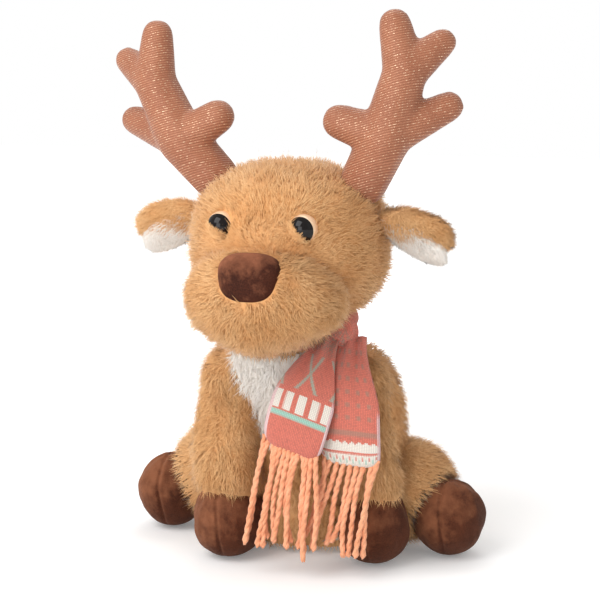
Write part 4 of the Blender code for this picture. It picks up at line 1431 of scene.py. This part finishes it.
def make_stitch_group():
    """Stitches of a plain knit: their places, a value of their own, and their height."""
    names = ("Across", "Up", "Own", "Height")
    group = start_group("stitches", (), [(name, "Float") for name in names])
    u, v = (
        add_node(group, "ShaderNodeAttribute", attribute_name=name).outputs["Fac"]
        for name in ("cloth_u", "cloth_v")
    )
    column = calc(group, "DIVIDE", u, WALE)
    beside = calc(group, "ABSOLUTE", calc(group, "SUBTRACT", calc(group, "FRACT", column), 0.5))
    lean = calc(group, "MULTIPLY", beside, 1.1)
    row = calc(group, "ADD", calc(group, "DIVIDE", v, COURSE), lean)
    across = calc(group, "MULTIPLY", calc(group, "FLOOR", column), WALE)
    up = calc(group, "MULTIPLY", calc(group, "FLOOR", row), COURSE)
    pair = add_node(group, "ShaderNodeCombineXYZ", {"X": across, "Y": up}).outputs["Vector"]
    noise = add_node(group, "ShaderNodeTexWhiteNoise", {"Vector": pair}, noise_dimensions="2D")
    groove = calc(group, "SINE", calc(group, "MULTIPLY", calc(group, "FRACT", row), math.pi))
    ridge = calc(group, "COSINE", calc(group, "MULTIPLY", beside, math.pi))
    height = calc(group, "MULTIPLY", groove, ridge)
    values = (across, up, noise.outputs["Value"], height)
    add_node(group, "NodeGroupOutput", dict(zip(names, values)))
    return group


BAND = make_band_group()
STITCH = make_stitch_group()
print("stitch:", WALE, "by", COURSE, "mm")

# %% [markdown]
# Both ends of the scarf share the ground, coral flecked with brown, and differ in their motifs:
# bars under a row of crosses on one, and two pale bands on the other. These are common knitting
# motifs. Each motif is a colour and a mask, and they are laid over the ground one after another.

# %% Scarf materials
CORAL = (0.800, 0.225, 0.165)
DARK_CORAL = (0.660, 0.190, 0.140)
CREAM = (0.930, 0.860, 0.770)
MINT = (0.400, 0.690, 0.580)
OLIVE = (0.47, 0.47, 0.38)
GREY_BROWN = (0.430, 0.270, 0.205)
PALE_PINK = (0.900, 0.640, 0.640)


def band(tree, value, centre, half, soft=0.3):
    """Put the band group into a material."""
    inputs = {"Value": value, "Centre": centre, "Half": half, "Soft": soft}
    return add_node(tree, "ShaderNodeGroup", inputs, node_tree=BAND).outputs["Mask"]


def repeated(tree, value, reach, half, soft=0.3):
    """A band that comes again every twice its reach."""
    return band(tree, calc(tree, "WRAP", value, reach, -reach), 0.0, half, soft)


def both(tree, first, second):
    """Where two masks meet, or one mask made weaker by a number."""
    return calc(tree, "MULTIPLY", first, second)


def hem_edges(tree, across, up, half, height):
    """The paler side edges of an end, up to a height above its hem."""
    edge = calc(tree, "SUBTRACT", 1.0, band(tree, across, 0.0, half, 0.8))
    return both(tree, edge, band(tree, up, 0.0, height, 4.0))


def cross_mask(tree, across, up, centre, pitch, reach):
    """A row of diagonal crosses, each as tall as twice its reach."""
    turned = calc(tree, "WRAP", across, pitch / 2.0, -pitch / 2.0)
    raised = calc(tree, "SUBTRACT", up, centre)
    arms = []
    for sign in SIDES.values():
        slant = calc(tree, "MULTIPLY_ADD", raised, 0.62 * sign, turned)
        arms.append(band(tree, slant, 0.0, 1.05, 0.6))
    return both(tree, calc(tree, "MAXIMUM", *arms), band(tree, up, centre, reach))


def front_motifs(tree, across, up, own):
    """Bars and crosses."""
    return (
        (GREY_BROWN, both(tree, band(tree, up, 62.0, 5.0, 6.0), own)),
        (OLIVE, cross_mask(tree, across, up, 45.0, 21.0, 9.5)),
        (CREAM, both(tree, repeated(tree, across, 3.6, 2.3), band(tree, up, 27.5, 5.0))),
        (MINT, band(tree, up, 20.0, 1.35)),
        (CREAM, band(tree, up, 80.0, 0.7)),
        (PALE_PINK, hem_edges(tree, across, up, 15.6, 34.0)),
    )


def back_motifs(tree, across, up, own):
    """Two pale bands with ticks, under a ground with rows of dots."""
    dots = both(tree, repeated(tree, across, 3.0, 1.1, 0.8), repeated(tree, up, 3.4, 1.1, 0.8))
    dots = both(tree, dots, band(tree, up, 46.0, 22.0))
    raised = calc(tree, "MULTIPLY_ADD", calc(tree, "PINGPONG", across, 2.0), -0.9, up)
    ticks = both(tree, repeated(tree, across, 1.9, 0.55), band(tree, up, 4.2, 1.0))
    shifted = calc(tree, "ADD", across, 1.9)
    green = both(tree, repeated(tree, shifted, 1.9, 0.6), band(tree, up, 2.6, 1.6))
    return (
        (GREY_BROWN, both(tree, dots, 0.75)),
        (GREY_BROWN, both(tree, band(tree, up, 18.6, 1.5, 1.0), 0.7)),
        (CREAM, band(tree, raised, 9.6, 2.9)),
        (CREAM, band(tree, up, 2.8, 4.0)),
        (CORAL, band(tree, up, 7.4, 0.6)),
        (CORAL, both(tree, ticks, 0.8)),
        (MINT, both(tree, green, 0.7)),
        (PALE_PINK, hem_edges(tree, across, up, 16.0, 30.0)),
    )


def make_knit(name, motifs):
    """A scarf: flecked ground, motifs, painted shade between stitches, and relief."""
    material, shader = start_material(name, 0.85, 0.35, 0.4, (1.0, 0.85, 0.8))
    tree = material.node_tree
    stitch = add_node(tree, "ShaderNodeGroup", node_tree=STITCH).outputs
    fleck = calc(tree, "POWER", stitch["Own"], 2.2)
    colour = blend_colour(tree, CORAL, DARK_CORAL, fleck)
    for above, mask in motifs(tree, stitch["Across"], stitch["Up"], stitch["Own"]):
        colour = blend_colour(tree, colour, above, mask)
    # Painted shade: the colour is darker where a stitch is low, in the gaps between stitches.
    shade = calc(tree, "MULTIPLY_ADD", stitch["Height"], 0.42, 0.68)
    grey = add_node(tree, "ShaderNodeCombineColor", {"Red": shade, "Green": shade, "Blue": shade})
    layers = {"Factor": 1.0, "A": colour, "B": grey.outputs["Color"]}
    dark = add_node(tree, "ShaderNodeMix", layers, data_type="RGBA", blend_type="MULTIPLY")
    feed(shader, "Base Color", dark.outputs["Result"])
    add_bump(shader, stitch["Height"], 0.8, 0.35 * MM)
    return material


FRONT_KNIT = make_knit("scarf_knit_front", front_motifs)
BACK_KNIT = make_knit("scarf_knit_back", back_motifs)
for knit in (FRONT_KNIT, BACK_KNIT):
    print(knit.name, "has", len(knit.node_tree.nodes), "nodes")

# %% [markdown]
# A strip of cloth is a grid with a front and a back. It narrows into gathers at the knot and lies
# smooth at its hem. Its edges are rounded, because the knit is double.

# %% The places and sizes of the scarf
KNOT = Vector((31.5 * MM, -26.0 * MM, 129.5 * MM))
KNOT_RADIUS = 9.0 * MM
STRAP_WIDTH = 35.0 * MM
STRAP_PINCH = 15.0 * MM
STRAP_BOW = 8.0 * MM
CLOTH_THICK = 3.2 * MM
FOLD_HEIGHT = 1.8 * MM
WAVE_HEIGHT = 0.7 * MM
CUP_DEPTH = 2.6 * MM
HEM_START = 0.72
HEM_ROUND = 5.0 * MM
HEM_PULL = 0.07
# Each end: where it starts at the knot, where its hem and the tips of its fringe hang, how it is
# turned, the phase of its folds, and the number, spread and seed of its strands.
SCARF_ENDS = {
    "front": {
        "start": Vector((-5.0 * MM, -5.0 * MM, 0.0)),
        "hem": Vector((14.0 * MM, -58.5 * MM, 67.5 * MM)),
        "fringe": Vector((10.0 * MM, -63.0 * MM, 9.0 * MM)),
        "slant": math.radians(16.0), "phase": 0.6,
        "strands": 13, "spread": 20.5 * MM, "seed": 81,
    },
    "back": {
        "start": Vector((6.0 * MM, 0.5 * MM, 0.0)),
        "hem": Vector((45.0 * MM, -50.0 * MM, 61.0 * MM)),
        "fringe": Vector((36.5 * MM, -53.5 * MM, 10.0 * MM)),
        "slant": math.radians(2.0), "phase": 2.1,
        "strands": 9, "spread": 16.5 * MM, "seed": 82,
    },
}
print("scarf:", round(STRAP_WIDTH / MM), "mm wide, with a knot at", [round(v, 4) for v in KNOT])

# %% Scarf cloth


def sheet_mesh(name, place, across_mm, up_mm, closed=False, columns=72, rows=150):
    """A double cloth. place(s, t, side) gives a point; s runs across, t along, side is 1 or -1."""
    shape = bmesh.new()
    u_layer = shape.verts.layers.float.new("cloth_u")
    v_layer = shape.verts.layers.float.new("cloth_v")
    faces = {}
    for side in (1.0, -1.0):
        grid = []
        for row in range(rows + 1):
            t = row / rows
            line = []
            for column in range(columns + 1):
                s = 2.0 * column / columns - 1.0
                rim = column in (0, columns) or (not closed and row in (0, rows))
                if rim and side < 0.0:
                    line.append(faces[1.0][row][column])
                    continue
                vert = shape.verts.new(place(s, t, 0.0 if rim else side))
                vert[u_layer] = across_mm(s, t)
                vert[v_layer] = up_mm(s, t)
                line.append(vert)
            grid.append(line)
        faces[side] = grid
        for low, high in zip(grid, grid[1:]):
            for column in range(columns):
                ring = (low[column], low[column + 1], high[column + 1], high[column])
                shape.faces.new(ring if side > 0.0 else ring[::-1])
    if closed:
        bmesh.ops.remove_doubles(shape, verts=shape.verts, dist=0.001 * MM)
    bmesh.ops.recalc_face_normals(shape, faces=shape.faces)
    return finish_mesh(name, shape)


def end_frame(end):
    """The middle line of a scarf end, the way across it, the way it faces, and its length."""
    hem = end["hem"]
    lead = (hem - KNOT).normalized()
    start = KNOT + end["start"] + lead * KNOT_RADIUS * 0.35
    across = Vector((math.cos(end["slant"]), 0.0, -math.sin(end["slant"])))
    facing = across.cross(hem - start).normalized()
    if facing.y > 0.0:
        facing = -facing

    def middle(t):
        bow = Vector((0.0, 4.0 * STRAP_BOW * t * (1.0 - t), 0.0))
        return start.lerp(hem, t) - bow

    return middle, across, facing, (hem - start).length


def half_width(t):
    """Half the width of an end: pinched at the knot, and full from about half way down."""
    spread = min(1.0, 1.75 * t)
    eased = spread * spread * (3.0 - 2.0 * spread)
    return (STRAP_PINCH + (STRAP_WIDTH - STRAP_PINCH) * eased) / 2.0


def make_scarf_end(which, material):
    """One hanging end of the scarf, and how far it hangs."""
    end = SCARF_ENDS[which]
    phase = end["phase"]
    middle, across, facing, length = end_frame(end)
    down = (end["hem"] - middle(0.5)).normalized()

    def place(s, t, side):
        gather = (1.0 - min(1.0, 1.2 * t)) ** 2
        fold = math.sin(s * 7.5 + phase) * FOLD_HEIGHT * gather
        wave = math.sin(s * 3.0 + t * 4.0 + phase) * WAVE_HEIGHT
        cup = -CUP_DEPTH * s * s * (0.4 + 0.6 * math.sin(math.pi * min(1.0, t)))
        rim = (1.0 - abs(s) ** 5) * (1.0 - abs(2.0 * t - 1.0) ** 26)
        near_hem = max(0.0, t - HEM_START) / (1.0 - HEM_START)
        thick = side * CLOTH_THICK / 2.0 * math.sqrt(max(rim, 0.0)) * (1.0 + 0.5 * near_hem)
        round_hem = -HEM_ROUND * abs(s) ** 5 * near_hem**2
        point = middle(t) + across * (s * half_width(t) * (1.0 - HEM_PULL * near_hem**2))
        return point + facing * (fold + wave + cup + thick) + down * round_hem

    cloth = sheet_mesh(
        f"scarf_{which}_cloth", place,
        lambda s, t: s * STRAP_WIDTH / 2.0 / MM,
        lambda s, t: (1.0 - t) * length / MM
    )
    dress(cloth, "scarf_ends", "scarf_knit", material, f"scarf_tail_{which}")
    return cloth, length


front_cloth, front_length = make_scarf_end("front", FRONT_KNIT)
back_cloth, back_length = make_scarf_end("back", BACK_KNIT)
print("scarf ends hang", round(front_length / MM), "and", round(back_length / MM), "mm")

# %% [markdown]
# Round the neck the strip lies in soft lengthwise folds, and at the knot it wraps over itself.

# %% Loop and knot
LOOP_INNER = 29.2 * MM
LOOP_OUTER = 34.6 * MM
LOOP_BOTTOM = 119.0 * MM
LOOP_TOP = 139.9 * MM
LOOP_FOLD = 0.9 * MM
LOOP_HALF_THICK = 1.5 * MM
KNOT_SHAPE = (0.92, 0.98, 1.12)
KNOT_SHIFT = (0.4 * MM, -0.6 * MM, 0.0)
PLEAT_SHARE = 0.07


def make_loop():
    """The band round the neck."""
    axis = Vector((0.0, NECK_Y, (LOOP_BOTTOM + LOOP_TOP) / 2.0))
    tall = LOOP_TOP - LOOP_BOTTOM
    mean = (LOOP_INNER + LOOP_OUTER) / 2.0

    def place(s, t, side):
        turn = math.tau * t
        fold = LOOP_FOLD * math.sin(5.0 * s + 2.0 * math.sin(turn)) * (1.0 - s * s)
        rim = math.sqrt(max(0.0, 1.0 - abs(s) ** 4))
        radius = mean + fold + side * LOOP_HALF_THICK * rim
        rise = s * (tall / 2.0) * (1.0 + 0.04 * math.sin(3.0 * turn))
        return axis + Vector((radius * math.cos(turn), radius * math.sin(turn), rise))

    loop = sheet_mesh(
        "scarf_loop_cloth", place,
        lambda s, t: s * 14.0,
        lambda s, t: 74.0 + 150.0 * abs(t - 0.5),
        closed=True, columns=36, rows=180
    )
    dress(loop, "torso", "scarf_knit", FRONT_KNIT, "scarf_loop")
    return loop


def make_knot():
    """A wrap with pleats that runs over the tops of both ends."""
    shape = make_ball(96, 64, 1.0)
    u_layer = shape.verts.layers.float.new("cloth_u")
    v_layer = shape.verts.layers.float.new("cloth_v")
    wide, deep, tall = KNOT_SHAPE
    for vertex in shape.verts:
        x, y, z = vertex.co
        turn = math.atan2(z, x)
        pleat = 1.0 + PLEAT_SHARE * math.sin(11.0 * y + 1.6 * math.sin(turn)) * (1.0 - y * y)
        vertex[u_layer] = y * 13.0
        vertex[v_layer] = 80.0 + (turn - 1.9) * 4.0
        vertex.co = Vector((x * wide, y * deep, z * tall)) * (KNOT_RADIUS * pleat)
    tilt = Matrix.Rotation(math.radians(-24.0), 3, "Y")
    turned = tilt @ Matrix.Rotation(math.radians(32.0), 3, "Z")
    bmesh.ops.rotate(shape, verts=shape.verts, cent=(0, 0, 0), matrix=turned)
    bmesh.ops.translate(shape, verts=shape.verts, vec=KNOT + Vector(KNOT_SHIFT))
    knot = finish_mesh("scarf_knot_cloth", shape)
    dress(knot, "torso", "scarf_knit", FRONT_KNIT, "scarf_knot")
    return knot


loop_cloth = make_loop()
knot_cloth = make_knot()
print("loop is", round((LOOP_TOP - LOOP_BOTTOM) / MM, 1), "mm tall")

# %% [markdown]
# The fringe is yarn: two plies wound round each other, thirteen strands on one hem and nine on the
# other. Each strand is looped through the hem, hangs a little differently, and opens at its end.

# %% Yarn
PLY_RADIUS = 1.12 * MM
PLY_OFFSET = 0.46 * MM
TWIST_PITCH = 10.5 * MM
YARN = make_plain(
    "fringe_yarn", 0.88, ((0.78, 0.300, 0.150), (0.93, 0.460, 0.270)), (160.0, 2600.0),
    bump=(0.8, 0.4 * MM), sheen=(0.5, 0.4, (1.0, 0.85, 0.75))
)


def ply(shape, path, phase, sides=8):
    """One ply: a thin tube that winds round a path, opens near its end and closes to a tip."""
    loops = []
    count = len(path)
    walked = 0.0
    for number, point in enumerate(path):
        before = path[max(number - 1, 0)]
        after = path[min(number + 1, count - 1)]
        along = (after - before).normalized()
        side = along.cross(Vector((0, 1, 0))).normalized()
        other = along.cross(side)
        walked += (point - before).length
        share = number / (count - 1)
        turn = phase + math.tau * walked / TWIST_PITCH
        apart = 1.0 + 3.0 * max(0.0, share - 0.92)
        centre = point + (side * math.cos(turn) + other * math.sin(turn)) * PLY_OFFSET * apart
        radius = PLY_RADIUS * (1.0 + 0.30 * math.exp(-(((share - 0.96) / 0.02) ** 2)))
        radius *= math.sqrt(max(0.04, 1.0 - max(0.0, share - 0.965) / 0.035))
        loop = []
        for corner in range(sides):
            angle = math.tau * corner / sides
            out = side * math.cos(angle) + other * math.sin(angle)
            loop.append(shape.verts.new(centre + out * radius))
        loops.append(loop)
    bridge(shape, loops)
    shape.faces.new(loops[0])
    shape.faces.new(loops[-1][::-1])


# %% Fringes
STRAND_STEPS = 46
STRAND_CURL = 1.1 * MM


def strand_path(top, bottom, sway, curl):
    """The middle line of one strand, from the hem to its tip."""
    path = []
    for number in range(STRAND_STEPS + 1):
        t = number / STRAND_STEPS
        point = top.lerp(bottom, t) + sway * math.sin(math.pi * t)
        loose = Vector((math.sin(6.0 * t + curl), 0.5 * math.cos(4.0 * t + curl), 0.0))
        path.append(point + loose * (STRAND_CURL * t))
    return path


def make_fringe(which):
    """The strands of one hem."""
    end = SCARF_ENDS[which]
    _, across, facing, _ = end_frame(end)
    level = Vector((across.x, 0.0, 0.4 * across.z))
    random = np.random.default_rng(end["seed"])
    shape = bmesh.new()
    for strand in range(end["strands"]):
        s = 2.0 * strand / (end["strands"] - 1) - 1.0
        top = end["hem"] + across * (s * STRAP_WIDTH / 2.0 * 0.85)
        top.z += 1.5 * MM + 3.6 * MM * abs(s) ** 5
        top += facing * (-CUP_DEPTH * s * s * 0.4)
        lift = Vector((0.0, 0.0, random.uniform(1.0, 11.0) * MM))
        bottom = end["fringe"] + level * (s * end["spread"]) + lift
        bottom += Vector((random.uniform(-2.6, 2.6) * MM, random.uniform(-2.5, 1.5) * MM, 0.0))
        sway = Vector((random.uniform(-3.4, 3.4) * MM, random.uniform(-1.5, 0.5) * MM, 0.0))
        curl = random.uniform(0.0, math.tau)
        path = strand_path(top, bottom, sway, curl)
        ply(shape, path, curl)
        ply(shape, path, curl + math.pi)
    bmesh.ops.recalc_face_normals(shape, faces=shape.faces)
    fringe = finish_mesh(f"fringe_{which}_yarn", shape)
    dress(fringe, "scarf_ends", "fringe_yarn", YARN, f"fringe_{which}")
    print(fringe.name, "has", end["strands"], "strands")
    return fringe


front_fringe = make_fringe("front")
back_fringe = make_fringe("back")

# %% Sheets of cloth
print("sheets:", ", ".join(p.name for p in (front_cloth, back_cloth, loop_cloth, knot_cloth)))
